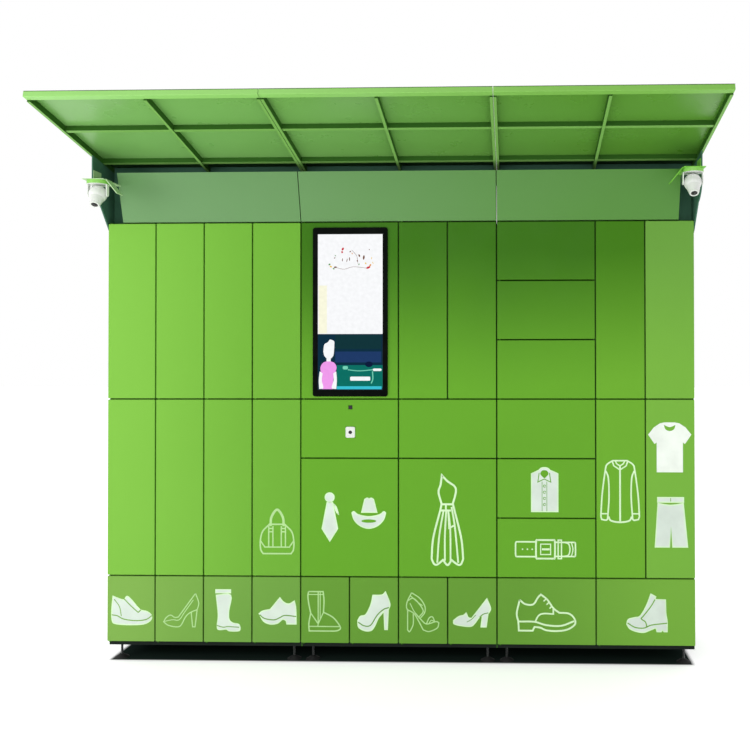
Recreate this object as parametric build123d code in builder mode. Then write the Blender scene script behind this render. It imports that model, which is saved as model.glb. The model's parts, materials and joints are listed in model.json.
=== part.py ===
from build123d import *
from math import atan2, cos, degrees, hypot, radians, sin, tan
import os

# Garment parcel locker, millimetres. +Z is up, the doors face -Y and +X is to the right of a
# person who stands in front of them. The origin is on the floor, under the middle of the object.

# ---- driving dimensions ----------------------------------------------------------------------
COLUMN_W = 225.0  # one column of narrow compartments
BANK_COLUMNS = 4  # columns in one bank
BANKS = 3  # banks bolted side by side
MODULE_H = 271.0  # height of one compartment module
ROW_MODULES = 3  # modules in the middle row and in the upper row
BASE_ROW_H = 305.0  # height of the shoe row at the bottom
FEET_H = 90.0  # floor to the lowest door edge
BODY_D = 550.0  # door face to the back
CANOPY_REACH = 655.0  # canopy nose ahead of the door face

DOOR_T = 20.0  # depth of a door pan
DOOR_SHEET = 1.5  # sheet that a door is folded from
DOOR_GAP = 6.0  # gap between neighbouring doors
DOOR_CORNER_R = 3.0
DOOR_EDGE_R = 2.0
HINGE_IN = 12.0  # hinge axis, in from the door's hinge edge
HINGE_BACK = 5.0  # hinge axis, behind the door's face
PIN_R = 2.5
PIN_FIT = 0.05  # radial clearance of a pin in its strip
PIN_TIP_GAP = 0.2  # pin tip to the middle of the door gap

CARCASS_GAP = 26.0  # door face to the carcass
SHEET = 2.0  # carcass sheet
FRAME_D = 25.0  # depth of the front posts and rails
RAIL_H = 20.0
POST_W = 24.0
STRIP_T = 3.0  # hinge strip
EAR_R = 4.5  # rounded end of a hinge ear
WELD_GAP = 0.3  # keeps the pieces of one group apart
BACK_IN = 10.0  # back sheet, in from the deepest point

FASCIA_H = 216.5
FASCIA_LEAN = 65.0  # the fascia's top leans this far forward
FASCIA_INSET = 72.0  # fascia end, in from the body's end
FASCIA_FOOT = 60.0  # flange on the roof
FASCIA_HEAD = 40.0  # flange at the top
ARM_T = 6.0  # cheeks and uprights
ARM_NOSE = 140.0  # front edge of a cheek, ahead of the door face
ARM_NOSE_Z = 2190.0  # where the straight front edge ends
ARM_BEND = (118.0, 2128.0)  # middle of the curved edge, ahead and up
ARM_WAIST = (65.0, 2090.0)  # end of the curved edge
ARM_TAIL = -230.0  # rear edge, behind the door face
ARM_DROP = 120.0  # cheek, down the cabinet's side
ARM_LAP = 90.0  # cheek's lower edge, behind the carcass front
UPRIGHT_BACK = 70.0  # front of the uprights, behind the door face
SCREEN_WALL_GAP = 2.0  # wall behind the fascia, clear of the fascia and the uprights
CANOPY_SIDE = 15.0  # canopy end, out from the body's end
CANOPY_REAR_REACH = 28.0  # rear edge of the soffit, ahead of the door face
CANOPY_REAR_Z = 2282.0  # underside of the ribs at the soffit's rear edge
CANOPY_NOSE_Z = 2405.0  # underside of the ribs at the nose
CANOPY_SKIN = 1.5  # soffit and roof sheets
BEAM_D = 30.0  # front beam, along the slope
BEAM_H = 22.5
RIB_W = 12.0
RIB_H = 27.0
RIB_TAIL = 270.0  # rib, behind the soffit's rear edge
PURLIN_AHEAD = 350.0  # middle purlin, ahead of the door face
PURLIN_W = 20.0
PURLIN_RAISE = 5.0  # purlin's underside, over the ribs' underside

# ---- sizes worked out from them ----------------------------------------------------------------
BANK_W = COLUMN_W * BANK_COLUMNS
BODY_W = BANK_W * BANKS
LEFT_X = -BODY_W / 2
FRONT_Y = (CANOPY_REACH - BODY_D) / 2
CARCASS_Y = FRONT_Y + CARCASS_GAP
FRAME_BACK_Y = CARCASS_Y + FRAME_D
DEEP_Y = FRONT_Y + BODY_D
BACK_Y = DEEP_Y - BACK_IN
BASE_Z = FEET_H - STRIP_T / 2 - RAIL_H  # underside of the base frame
LOWER_Z = FEET_H
MIDDLE_Z = LOWER_Z + BASE_ROW_H
UPPER_Z = MIDDLE_Z + ROW_MODULES * MODULE_H
TOP_Z = UPPER_Z + ROW_MODULES * MODULE_H
ROW_Z = [LOWER_Z, MIDDLE_Z, UPPER_Z, TOP_Z]
ROOF_Z = TOP_Z + STRIP_T / 2
HINGE_Y = FRONT_Y + HINGE_BACK

CANOPY_SLOPE = atan2(CANOPY_NOSE_Z - CANOPY_REAR_Z, CANOPY_REACH - CANOPY_REAR_REACH)
CANOPY_LENGTH = hypot(CANOPY_NOSE_Z - CANOPY_REAR_Z, CANOPY_REACH - CANOPY_REAR_REACH)
CANOPY_T = RIB_H + CANOPY_SKIN
PURLIN_AT = (PURLIN_AHEAD - CANOPY_REAR_REACH) / cos(CANOPY_SLOPE)
CANOPY_PLANE = Plane(
    origin=(0, FRONT_Y - CANOPY_REAR_REACH, CANOPY_REAR_Z),
    x_dir=(1, 0, 0),
    z_dir=(0, sin(CANOPY_SLOPE), cos(CANOPY_SLOPE)),
)

# ---- the door plan -------------------------------------------------------------------------------
# name, row, first column, columns wide, first module of the row, modules high
FULL = ROW_MODULES
UPPER_COLUMNS = [0, 1, 2, 3, 6, 7, 10, 11]
MIDDLE_COLUMNS = [0, 1, 2, 3, 10, 11]
DOORS = [(f"door_upper_{column + 1}", 2, column, 1, 0, FULL) for column in UPPER_COLUMNS]
DOORS += [(f"door_upper_9_{level + 1}", 2, 8, 2, level, 1) for level in range(3)]
DOORS += [(f"door_middle_{column + 1}", 1, column, 1, 0, FULL) for column in MIDDLE_COLUMNS]
DOORS += [("door_middle_5", 1, 4, 2, 0, 2)]
DOORS += [("door_middle_7", 1, 6, 2, 0, 2), ("door_middle_7_top", 1, 6, 2, 2, 1)]
DOORS += [(f"door_middle_9_{level + 1}", 1, 8, 2, level, 1) for level in range(3)]
DOORS += [(f"door_lower_{column + 1}", 0, column, 1, 0, FULL) for column in range(8)]
DOORS += [("door_lower_9", 0, 8, 2, 0, FULL), ("door_lower_11", 0, 10, 2, 0, FULL)]
DISPLAY_DOOR = ("display_door", 2, 4, 2, 0, FULL)
SCANNER_DOOR = ("scanner_door", 1, 4, 2, 2, 1)

# column boundaries with an upright between compartments, for each row
ROW_DIVIDERS = [[1, 2, 3, 5, 6, 7, 10], [1, 2, 3, 6, 10, 11], [1, 2, 3, 6, 7, 10, 11]]
# stacked compartments: row, first column, columns wide, module that the shelf lies under
STACK_SHELVES = [(1, 4, 2, 2), (1, 6, 2, 2), (1, 8, 2, 1), (1, 8, 2, 2), (2, 8, 2, 1), (2, 8, 2, 2)]

# ---- the user interface --------------------------------------------------------------------------
PANEL_X = LEFT_X + 5 * COLUMN_W + 4.0  # middle of the display and the scanner
BEZEL_W = 345.0
BEZEL_H = 775.0
BEZEL_PROUD = 8.0
BEZEL_R = 12.0
SCREEN_W = 300.0
SCREEN_H = 715.0
SCREEN_T = 5.0
SCREEN_FIT = 0.3
BEZEL_Z = UPPER_Z + 12.0 + BEZEL_H / 2
SCREEN_Z = UPPER_Z + 42.0 + SCREEN_H / 2
HOUSING_W = 306.0
HOUSING_H = 722.0
HOUSING_BACK = 70.0  # behind the door face
SCANNER_W = 43.0
SCANNER_H = 50.0
SCANNER_PROUD = 3.0
SCANNER_DEPTH = 38.0
SCANNER_Z = UPPER_Z - 152.0
SCANNER_LENS_R = 8.0
EYE_R = 9.0  # camera window over the scanner
EYE_Z = UPPER_Z - 38.0

# ---- locks, feet and cameras ---------------------------------------------------------------------
LOCK_W = 40.0
LOCK_D = 45.0
LOCK_H = 60.0
LOCK_BACK = 2.0  # lock, behind the front frame
MOUTH_W = 14.0
MOUTH_H = 26.0
MOUTH_D = 12.0
STRIKER_IN = 26.0  # striker, in from the free column boundary
STRIKER_T = 3.0
STRIKER_H = 16.0
STRIKER_REACH = 8.0  # striker tip inside the lock's mouth

FOOT_IN = 44.0  # foot, in from the bank's side
FOOT_BACK = 62.0  # foot, in from the front and the back
PAD_R = 33.0
PAD_TOP_R = 10.0
PAD_H = 14.0
STUD_R = 5.0
NUT_R = 9.5
NUT_H = 8.0

CAMERA_X = 1302.0
CAMERA_AHEAD = 190.0
CAMERA_Y = FRONT_Y - CAMERA_AHEAD
CAMERA_PLATE_Z = [2178.0, 2212.0]  # underside of the left and right camera plates
CAMERA_BASE_R = 46.0
CAMERA_BASE_H = 16.0
CAMERA_R = 38.0  # ball of the camera head
CAMERA_DROP = 58.0  # plate to the tilt axis
CAMERA_PIN_R = 4.0
CAMERA_LEAN = 30.0  # snout, forward of straight down
SNOUT_L = 60.0  # tilt axis to the tip
SNOUT_TIP_R = 20.0
SNOUT_BORE_R = 14.5
SNOUT_BORE_D = 4.5
PLATE_T = 3.0  # camera plate and its wall flange
PLATE_HALF = 46.0
PLATE_BACK = 70.0  # rear edge of the plate, ahead of the door face
FLANGE_AHEAD = 138.0  # front edge of the wall flange
FLANGE_H = 60.0
BRACE_T = 4.0
BRACE_W = 56.0
BRACE_FALL = 62.0
BRACE_RUN = 50.0
BRACE_OUT = 1.0  # middle of the brace's top, beyond the plate
EAR_PLATE_W = 22.0  # yoke ear
YOKE_T = 4.0
YOKE_GAP = 2.0

GLAND_R = 12.4
GLAND_BORE_R = 9.0
GLAND_NUT_R = 20.0
GLAND_IN = 20.0  # thread, inside the back sheet
GLAND_X = LEFT_X + 4.5 * COLUMN_W  # behind the scanner door
GLAND_Z = UPPER_Z - MODULE_H / 2
WALL_BOLT_R = 5.5
WALL_BOLT_X = 700.0
WALL_BOLT_Z = 1600.0

pieces = []


def keep(part, name):
    """Labels a finished node and holds it for export."""
    part.label = name
    pieces.append(part)


def add_box(x0, x1, y0, y1, z0, z1, mode=Mode.ADD):
    """A block between two corners, in the block that is open."""
    with Locations(((x0 + x1) / 2, (y0 + y1) / 2, (z0 + z1) / 2)):
        Box(x1 - x0, y1 - y0, z1 - z0, mode=mode)


def add_canopy_box(x0, x1, s0, s1, n0, n1):
    """A block on the canopy's slope: s runs up the slope from its rear edge, n stands off it."""
    centre = Location(((x0 + x1) / 2, -(s0 + s1) / 2, (n0 + n1) / 2))
    with Locations(CANOPY_PLANE.location * centre):
        Box(x1 - x0, s1 - s0, n1 - n0)


def column_x(column):
    return LEFT_X + column * COLUMN_W


def bank_ends(bank):
    return column_x(bank * BANK_COLUMNS), column_x((bank + 1) * BANK_COLUMNS)


def cell(door):
    """The compartment behind a door, as x0, x1, z0, z1 on its boundary lines."""
    _, row, column, columns, module, modules = door
    z0 = ROW_Z[row] + module * MODULE_H
    z1 = z0 + modules * MODULE_H if row else ROW_Z[1]
    return column_x(column), column_x(column + columns), z0, z1


def add_striker(x1, z):
    """The hook plate on a door's back that enters the lock's mouth."""
    x = x1 - STRIKER_IN
    tip = FRAME_BACK_Y + LOCK_BACK + STRIKER_REACH
    back = FRONT_Y + DOOR_T + WELD_GAP
    add_box(x - STRIKER_T / 2, x + STRIKER_T / 2, back, tip, z - STRIKER_H / 2, z + STRIKER_H / 2)


def cut_door(x, z, width, height):
    """A straight cut through both skins of a door."""
    add_box(
        x - width / 2, x + width / 2, FRONT_Y - 1, FRONT_Y + DOOR_T + 1,
        z - height / 2, z + height / 2, mode=Mode.SUBTRACT,
    )


def make_door(door, windows=()):
    """A folded pan with two hinge pins, an inner plate and a striker; windows are cut through it."""
    x0, x1, z0, z1 = cell(door)
    half = DOOR_GAP / 2
    width = x1 - x0 - DOOR_GAP
    height = z1 - z0 - DOOR_GAP
    x = (x0 + x1) / 2
    z = (z0 + z1) / 2
    with BuildPart() as pan:
        add_box(x0 + half, x1 - half, FRONT_Y, FRONT_Y + DOOR_T, z0 + half, z1 - half)
        fillet(pan.edges().filter_by(Axis.Y), DOOR_CORNER_R)
        fillet(pan.faces().sort_by(Axis.Y)[0].edges(), DOOR_EDGE_R)
        add_box(
            x0 + half + DOOR_SHEET, x1 - half - DOOR_SHEET,
            FRONT_Y + DOOR_SHEET, FRONT_Y + DOOR_T + 1,
            z0 + half + DOOR_SHEET, z1 - half - DOOR_SHEET, mode=Mode.SUBTRACT,
        )
        pin_length = half - PIN_TIP_GAP + DOOR_SHEET
        with Locations(
            (x0 + half + HINGE_IN, HINGE_Y, z0 + PIN_TIP_GAP + pin_length / 2),
            (x0 + half + HINGE_IN, HINGE_Y, z1 - PIN_TIP_GAP - pin_length / 2),
        ):
            Cylinder(PIN_R, pin_length)
        with Locations((x, FRONT_Y + DOOR_T - DOOR_SHEET / 2, z)):
            skin_in = 2 * (DOOR_SHEET + WELD_GAP)
            Box(width - skin_in, DOOR_SHEET, height - skin_in)
        add_striker(x1, z)
        for window in windows:
            cut_door(*window)
    keep(pan.part, door[0])


def make_side_panels():
    with BuildPart() as sides:
        for bank in range(BANKS):
            x0, x1 = bank_ends(bank)
            add_box(x0 + 1, x0 + 1 + SHEET, CARCASS_Y, BACK_Y, BASE_Z, ROOF_Z)
            add_box(x1 - 1 - SHEET, x1 - 1, CARCASS_Y, BACK_Y, BASE_Z, ROOF_Z)
    keep(sides.part, "side_panels")


def front_plane(x, y, z):
    """An upright plane that faces -Y, with its own x along +X."""
    return Plane(origin=(x, y, z), x_dir=(1, 0, 0), z_dir=(0, -1, 0))


def back_plane(x, z):
    """The outside of the back sheets, facing +Y."""
    return Plane(origin=(x, BACK_Y, z), x_dir=(1, 0, 0), z_dir=(0, 1, 0))


def make_back_panels():
    """One sheet a bank, with four wall bolt holes; the middle one also holds the cable gland."""
    with BuildPart() as backs:
        for bank in range(BANKS):
            x0, x1 = bank_ends(bank)
            inset = 1 + SHEET
            add_box(x0 + inset, x1 - inset, BACK_Y - SHEET, BACK_Y, BASE_Z, ROOF_Z)
            with Locations(back_plane((x0 + x1) / 2, (BASE_Z + ROOF_Z) / 2).location):
                with GridLocations(WALL_BOLT_X, WALL_BOLT_Z, 2, 2):
                    Hole(WALL_BOLT_R, depth=SHEET * 2)
        with Locations(back_plane(GLAND_X, GLAND_Z).location):
            Hole(GLAND_R + 0.1, depth=SHEET * 2)
    keep(backs.part, "back_panels")


def make_roof_and_floor():
    with BuildPart() as sheets:
        for bank in range(BANKS):
            x0, x1 = bank_ends(bank)
            inset = 1 + SHEET
            add_box(x0 + 1, x1 - 1, CARCASS_Y, BACK_Y, ROOF_Z, ROOF_Z + SHEET)
            floor_z = LOWER_Z - STRIP_T / 2
            add_box(
                x0 + inset, x1 - inset, FRAME_BACK_Y, BACK_Y - SHEET, floor_z, floor_z + SHEET
            )
    keep(sheets.part, "roof_floor_panels")


def make_dividers():
    """Upright sheets between the compartments of one row, from shelf to shelf."""
    with BuildPart() as dividers:
        for row, columns in enumerate(ROW_DIVIDERS):
            low = ROW_Z[row] - STRIP_T / 2 + SHEET
            high = ROOF_Z if row == 2 else ROW_Z[row + 1] - STRIP_T / 2
            for column in columns:
                x = column_x(column)
                add_box(x - SHEET / 2, x + SHEET / 2, FRAME_BACK_Y, BACK_Y - SHEET, low, high)
    keep(dividers.part, "column_dividers")


def side_inset(column, plain):
    """How far a sheet or rail stops short of a boundary: more at a bank's own side."""
    return 1 + SHEET if column % BANK_COLUMNS == 0 else plain


def make_shelves():
    with BuildPart() as shelves:
        for bank in range(BANKS):
            x0, x1 = bank_ends(bank)
            for z in ROW_Z[1:3]:
                low = z - STRIP_T / 2
                inset = 1 + SHEET
                add_box(x0 + inset, x1 - inset, FRAME_BACK_Y, BACK_Y - SHEET, low, low + SHEET)
        for row, column, columns, module in STACK_SHELVES:
            low = ROW_Z[row] + module * MODULE_H - STRIP_T / 2
            last = column + columns
            add_box(
                column_x(column) + side_inset(column, SHEET / 2),
                column_x(last) - side_inset(last, SHEET / 2),
                FRAME_BACK_Y, BACK_Y - SHEET, low, low + SHEET,
            )
    keep(shelves.part, "shelves")


def post_span(column):
    """The post at a column boundary: full width inside a bank, half width at its sides."""
    x = column_x(column)
    return x - POST_W / 2, x + POST_W / 2


def make_front_frame():
    """Box posts and rails around every compartment mouth."""
    with BuildPart() as frame:
        for row, columns in enumerate(ROW_DIVIDERS):
            low = ROW_Z[row] + STRIP_T / 2
            high = ROW_Z[row + 1] - STRIP_T / 2 - RAIL_H - WELD_GAP
            for column in columns:
                x0, x1 = post_span(column)
                add_box(x0, x1, CARCASS_Y, FRAME_BACK_Y, low, high)
            for bank in range(BANKS):
                left, right = bank_ends(bank)
                inset = 1 + SHEET
                add_box(left + inset, left + POST_W / 2, CARCASS_Y, FRAME_BACK_Y, low, high)
                add_box(right - POST_W / 2, right - inset, CARCASS_Y, FRAME_BACK_Y, low, high)
                rail_top = ROW_Z[row + 1] - STRIP_T / 2
                add_box(
                    left + inset, right - inset, CARCASS_Y, FRAME_BACK_Y,
                    rail_top - RAIL_H, rail_top,
                )
        for row, column, columns, module in STACK_SHELVES:
            rail_top = ROW_Z[row] + module * MODULE_H - STRIP_T / 2
            x0 = column_x(column) + POST_W / 2 + WELD_GAP
            x1 = column_x(column + columns) - POST_W / 2 - WELD_GAP
            add_box(x0, x1, CARCASS_Y, FRAME_BACK_Y, rail_top - RAIL_H, rail_top)
    keep(frame.part, "front_frame")


def hinge_columns(z):
    """Columns whose left boundary carries a hinge at the height z."""
    found = set()
    for door in DOORS + [DISPLAY_DOOR, SCANNER_DOOR]:
        _, _, z0, z1 = cell(door)
        if abs(z0 - z) < 1 or abs(z1 - z) < 1:
            found.add(door[2])
    return sorted(found)


def add_hinge_ear(column, z):
    """A rounded ear in the door gap, bored for the hinge pins above and below it."""
    x = column_x(column) + DOOR_GAP / 2 + HINGE_IN
    add_box(x - EAR_R, x + EAR_R, HINGE_Y, CARCASS_Y, z - STRIP_T / 2, z + STRIP_T / 2)
    with Locations((x, HINGE_Y, z)):
        Cylinder(EAR_R, STRIP_T)
        Cylinder(PIN_R + PIN_FIT, STRIP_T * 2, mode=Mode.SUBTRACT)


def make_hinge_strips():
    with BuildPart() as strips:
        for z in ROW_Z:
            for bank in range(BANKS):
                left, right = bank_ends(bank)
                inset = 1 + SHEET
                add_box(
                    left + inset, right - inset, CARCASS_Y, FRAME_BACK_Y,
                    z - STRIP_T / 2, z + STRIP_T / 2,
                )
            for column in hinge_columns(z):
                add_hinge_ear(column, z)
        for row, column, columns, module in STACK_SHELVES:
            z = ROW_Z[row] + module * MODULE_H
            x0 = column_x(column) + POST_W / 2 + WELD_GAP
            x1 = column_x(column + columns) - POST_W / 2 - WELD_GAP
            add_box(x0, x1, CARCASS_Y, FRAME_BACK_Y, z - STRIP_T / 2, z + STRIP_T / 2)
            add_hinge_ear(column, z)
    keep(strips.part, "hinge_strips")


def make_locks():
    """One latch box on the free side of every compartment, with a mouth for the striker."""
    with BuildPart() as locks:
        for door in DOORS + [DISPLAY_DOOR, SCANNER_DOOR]:
            _, x1, z0, z1 = cell(door)
            right = x1 - side_inset(door[2] + door[3], SHEET / 2)
            z = (z0 + z1) / 2
            front = FRAME_BACK_Y + LOCK_BACK
            add_box(right - LOCK_W, right, front, front + LOCK_D, z - LOCK_H / 2, z + LOCK_H / 2)
            mouth = x1 - STRIKER_IN
            add_box(
                mouth - MOUTH_W / 2, mouth + MOUTH_W / 2, front - 1, front + MOUTH_D,
                z - MOUTH_H / 2, z + MOUTH_H / 2, mode=Mode.SUBTRACT,
            )
    keep(locks.part, "electric_locks")


def make_base_frame():
    """Front, back and side rails under each bank's floor."""
    with BuildPart() as base:
        for bank in range(BANKS):
            left, right = bank_ends(bank)
            inset = 1 + SHEET
            top = BASE_Z + RAIL_H
            for y0 in (CARCASS_Y, BACK_Y - SHEET - FRAME_D):
                add_box(left + inset, right - inset, y0, y0 + FRAME_D, BASE_Z, top)
            for x0 in (left + FOOT_IN - FRAME_D, right - FOOT_IN - FRAME_D):
                add_box(
                    x0, x0 + 2 * FRAME_D, FRAME_BACK_Y + WELD_GAP,
                    BACK_Y - SHEET - FRAME_D - WELD_GAP, BASE_Z, top,
                )
    keep(base.part, "base_frame")


def make_feet():
    """Levelling feet: a coned pad, a threaded stud and a lock nut, four under each bank."""
    places = []
    for bank in range(BANKS):
        left, right = bank_ends(bank)
        for x in (left + FOOT_IN, right - FOOT_IN):
            places += [(x, FRONT_Y + FOOT_BACK), (x, DEEP_Y - FOOT_BACK)]
    with BuildPart() as feet:
        with Locations([(x, y, PAD_H / 2) for x, y in places]):
            Cone(PAD_R, PAD_TOP_R, PAD_H)
        stud_h = BASE_Z - PAD_H - WELD_GAP
        with Locations([(x, y, BASE_Z - stud_h / 2) for x, y in places]):
            Cylinder(STUD_R, stud_h)
        with BuildSketch(Plane.XY.offset(BASE_Z - NUT_H)) as nuts:
            with Locations(places):
                RegularPolygon(NUT_R, 6)
        extrude(amount=NUT_H)
    keep(feet.part, "levelling_feet")


def bank_span(bank, end_inset, gap):
    """A bank-wide piece, with its own inset at the object's ends and a gap between banks."""
    x0, x1 = bank_ends(bank)
    left = x0 + end_inset if bank == 0 else x0 + gap / 2
    right = x1 - end_inset if bank == BANKS - 1 else x1 - gap / 2
    return left, right


def make_fascia():
    """Leaning sheet panels over the doors, folded back at the top, the bottom and both ends."""
    low = ROOF_Z + SHEET
    high = low + FASCIA_H
    lean = FASCIA_LEAN / FASCIA_H
    skin = SHEET / cos(atan2(FASCIA_LEAN, FASCIA_H))
    section = [
        (FRONT_Y + FASCIA_FOOT, low),
        (FRONT_Y, low),
        (FRONT_Y - FASCIA_LEAN, high),
        (FRONT_Y - FASCIA_LEAN + FASCIA_HEAD, high),
        (FRONT_Y - FASCIA_LEAN + FASCIA_HEAD, high - SHEET),
        (FRONT_Y - FASCIA_LEAN + lean * SHEET + skin, high - SHEET),
        (FRONT_Y - lean * SHEET + skin, low + SHEET),
        (FRONT_Y + FASCIA_FOOT, low + SHEET),
    ]
    cap = [section[0], section[1], section[2], section[3]]
    with BuildPart() as fascia:
        for bank in range(BANKS):
            x0, x1 = bank_span(bank, FASCIA_INSET, 4.0)
            with BuildSketch(Plane.YZ.offset(x0)):
                with BuildLine():
                    Polyline(*section, close=True)
                make_face()
            extrude(amount=x1 - x0)
            for x in (x0, x1 - SHEET):
                with BuildSketch(Plane.YZ.offset(x)):
                    with BuildLine():
                        Polyline(*cap, close=True)
                    make_face()
                extrude(amount=SHEET)
    keep(fascia.part, "fascia_panels")


def canopy_span(bank):
    return bank_span(bank, -CANOPY_SIDE, 2.0)


def make_canopy_beams():
    with BuildPart() as beams:
        for bank in range(BANKS):
            x0, x1 = canopy_span(bank)
            add_canopy_box(
                x0, x1, CANOPY_LENGTH - BEAM_D, CANOPY_LENGTH, CANOPY_T - BEAM_H, CANOPY_T
            )
        fillet(beams.edges().filter_by(Axis.X), 2.0)
    keep(beams.part, "canopy_front_beams")


def rib_spans(bank):
    x0, x1 = canopy_span(bank)
    middle = (bank_ends(bank)[0] + bank_ends(bank)[1]) / 2
    return [(x0, x0 + RIB_W), (middle - RIB_W / 2, middle + RIB_W / 2), (x1 - RIB_W, x1)]


def make_canopy_frame():
    """Three sloping ribs a bank, joined by a middle and a rear purlin."""
    with BuildPart() as frame:
        for bank in range(BANKS):
            ribs = rib_spans(bank)
            for x0, x1 in ribs:
                nose = CANOPY_LENGTH - BEAM_D - WELD_GAP
                add_canopy_box(x0, x1, -RIB_TAIL, nose, 0, RIB_H)
            for (_, x0), (x1, _) in zip(ribs, ribs[1:]):
                for s in (0, PURLIN_AT):
                    add_canopy_box(
                        x0 + WELD_GAP, x1 - WELD_GAP, s, s + PURLIN_W, PURLIN_RAISE, RIB_H
                    )
    keep(frame.part, "canopy_frame")


def make_canopy_sheets():
    """The soffit lies on the ribs, and the roof sheet covers the whole canopy."""
    with BuildPart() as soffit:
        for bank in range(BANKS):
            x0, x1 = canopy_span(bank)
            nose = CANOPY_LENGTH - BEAM_D
            add_canopy_box(x0, x1, 0, nose, RIB_H, RIB_H + CANOPY_SKIN)
    keep(soffit.part, "canopy_soffit")
    with BuildPart() as roof:
        for bank in range(BANKS):
            x0, x1 = canopy_span(bank)
            nose = CANOPY_LENGTH
            add_canopy_box(x0, x1, -RIB_TAIL, nose, CANOPY_T, CANOPY_T + CANOPY_SKIN)
    keep(roof.part, "canopy_roof")


def rib_z(ahead):
    """Underside of the ribs, at a distance ahead of the door face."""
    return CANOPY_REAR_Z + (ahead - CANOPY_REAR_REACH) * tan(CANOPY_SLOPE)


def draw_cheek():
    """The outline of a curved plate that holds the outer rib and a camera."""
    Polyline(
        (FRONT_Y - ARM_TAIL, rib_z(ARM_TAIL)),
        (FRONT_Y - ARM_NOSE, rib_z(ARM_NOSE)),
        (FRONT_Y - ARM_NOSE, ARM_NOSE_Z),
    )
    ThreePointArc(
        (FRONT_Y - ARM_NOSE, ARM_NOSE_Z),
        (FRONT_Y - ARM_BEND[0], ARM_BEND[1]),
        (FRONT_Y - ARM_WAIST[0], ARM_WAIST[1]),
    )
    Polyline(
        (FRONT_Y - ARM_WAIST[0], ARM_WAIST[1]),
        (CARCASS_Y, TOP_Z - ARM_DROP / 3),
        (CARCASS_Y + ARM_LAP, TOP_Z - ARM_DROP),
        (FRONT_Y - ARM_TAIL, TOP_Z - ARM_DROP),
        (FRONT_Y - ARM_TAIL, rib_z(ARM_TAIL)),
    )


def make_side_arms():
    """Cheeks at the ends, uprights under the inner ribs, and a wall behind the fascia."""
    ribs = [rib for bank in range(BANKS) for rib in rib_spans(bank)]
    wall_y0 = FRONT_Y + FASCIA_FOOT + SCREEN_WALL_GAP
    wall_y1 = FRONT_Y + UPRIGHT_BACK - SCREEN_WALL_GAP
    wall_top = rib_z(FRONT_Y - wall_y1) + CANOPY_T / cos(CANOPY_SLOPE) - WELD_GAP
    with BuildPart() as arms:
        for x0 in (LEFT_X - ARM_T, -LEFT_X):
            with BuildSketch(Plane.YZ.offset(x0)):
                with BuildLine():
                    draw_cheek()
                make_face()
            extrude(amount=ARM_T)
        for x0, x1 in ribs[1:-1]:
            with BuildSketch(Plane.YZ.offset((x0 + x1 - ARM_T) / 2)):
                with BuildLine():
                    Polyline(
                        (FRONT_Y + UPRIGHT_BACK, ROOF_Z + SHEET),
                        (FRONT_Y + UPRIGHT_BACK, rib_z(-UPRIGHT_BACK)),
                        (FRONT_Y - ARM_TAIL, rib_z(ARM_TAIL)),
                        (FRONT_Y - ARM_TAIL, ROOF_Z + SHEET),
                        close=True,
                    )
                make_face()
            extrude(amount=ARM_T)
        for (_, x0), (x1, _) in zip(ribs, ribs[1:]):
            if x1 - x0 > POST_W:
                left = max(x0, LEFT_X) + WELD_GAP
                right = min(x1, -LEFT_X) - WELD_GAP
                add_box(left, right, wall_y0, wall_y1, ROOF_Z + SHEET, wall_top)
    keep(arms.part, "side_arms")


def camera_side(index):
    """The sign, the middle x and the plate's underside for one camera."""
    sign = (-1, 1)[index]
    return sign, sign * CAMERA_X, CAMERA_PLATE_Z[index]


def make_camera_brackets():
    """An angle plate on each cheek, with a wide flat brace bent down toward the fascia's end."""
    with BuildPart() as brackets:
        for index in (0, 1):
            sign, x, z = camera_side(index)
            cheek = sign * -LEFT_X
            inner = x - sign * PLATE_HALF
            x0, x1 = sorted((cheek, inner))
            add_box(x0, x1, CAMERA_Y - PLATE_HALF, FRONT_Y - PLATE_BACK, z, z + PLATE_T)
            w0, w1 = sorted((cheek, cheek - sign * PLATE_T))
            add_box(w0, w1, FRONT_Y - FLANGE_AHEAD, FRONT_Y - PLATE_BACK, z, z + FLANGE_H)
            brace = Location(
                (inner - sign * (BRACE_RUN / 2 + BRACE_OUT), CAMERA_Y, z - BRACE_FALL / 2 + PLATE_T),
                (0, -sign * degrees(atan2(BRACE_RUN, -BRACE_FALL)), 0),
            )
            with Locations(brace):
                Box(BRACE_T, BRACE_W, hypot(BRACE_FALL, BRACE_RUN))
    keep(brackets.part, "camera_brackets")


def make_camera_bases():
    """A round cap under each plate with two yoke ears that hold the head's pins."""
    ear_x = CAMERA_R + YOKE_GAP
    with BuildPart() as bases:
        for index in (0, 1):
            _, x, z = camera_side(index)
            with Locations((x, CAMERA_Y, z - CAMERA_BASE_H / 2)):
                Cylinder(CAMERA_BASE_R, CAMERA_BASE_H)
            axis_z = z - CAMERA_DROP
            for side in (-1, 1):
                e0, e1 = sorted((x + side * ear_x, x + side * (ear_x + YOKE_T)))
                add_box(
                    e0, e1, CAMERA_Y - EAR_PLATE_W / 2, CAMERA_Y + EAR_PLATE_W / 2,
                    axis_z, z - CAMERA_BASE_H,
                )
            ear = Location((x, CAMERA_Y, axis_z), (0, 90, 0))
            for side in (-1, 1):
                with Locations(ear * Location((0, 0, side * (ear_x + YOKE_T / 2)))):
                    Cylinder(EAR_PLATE_W / 2, YOKE_T)
                    Cylinder(CAMERA_PIN_R + PIN_FIT, YOKE_T * 2, mode=Mode.SUBTRACT)
    keep(bases.part, "camera_bases")


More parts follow.
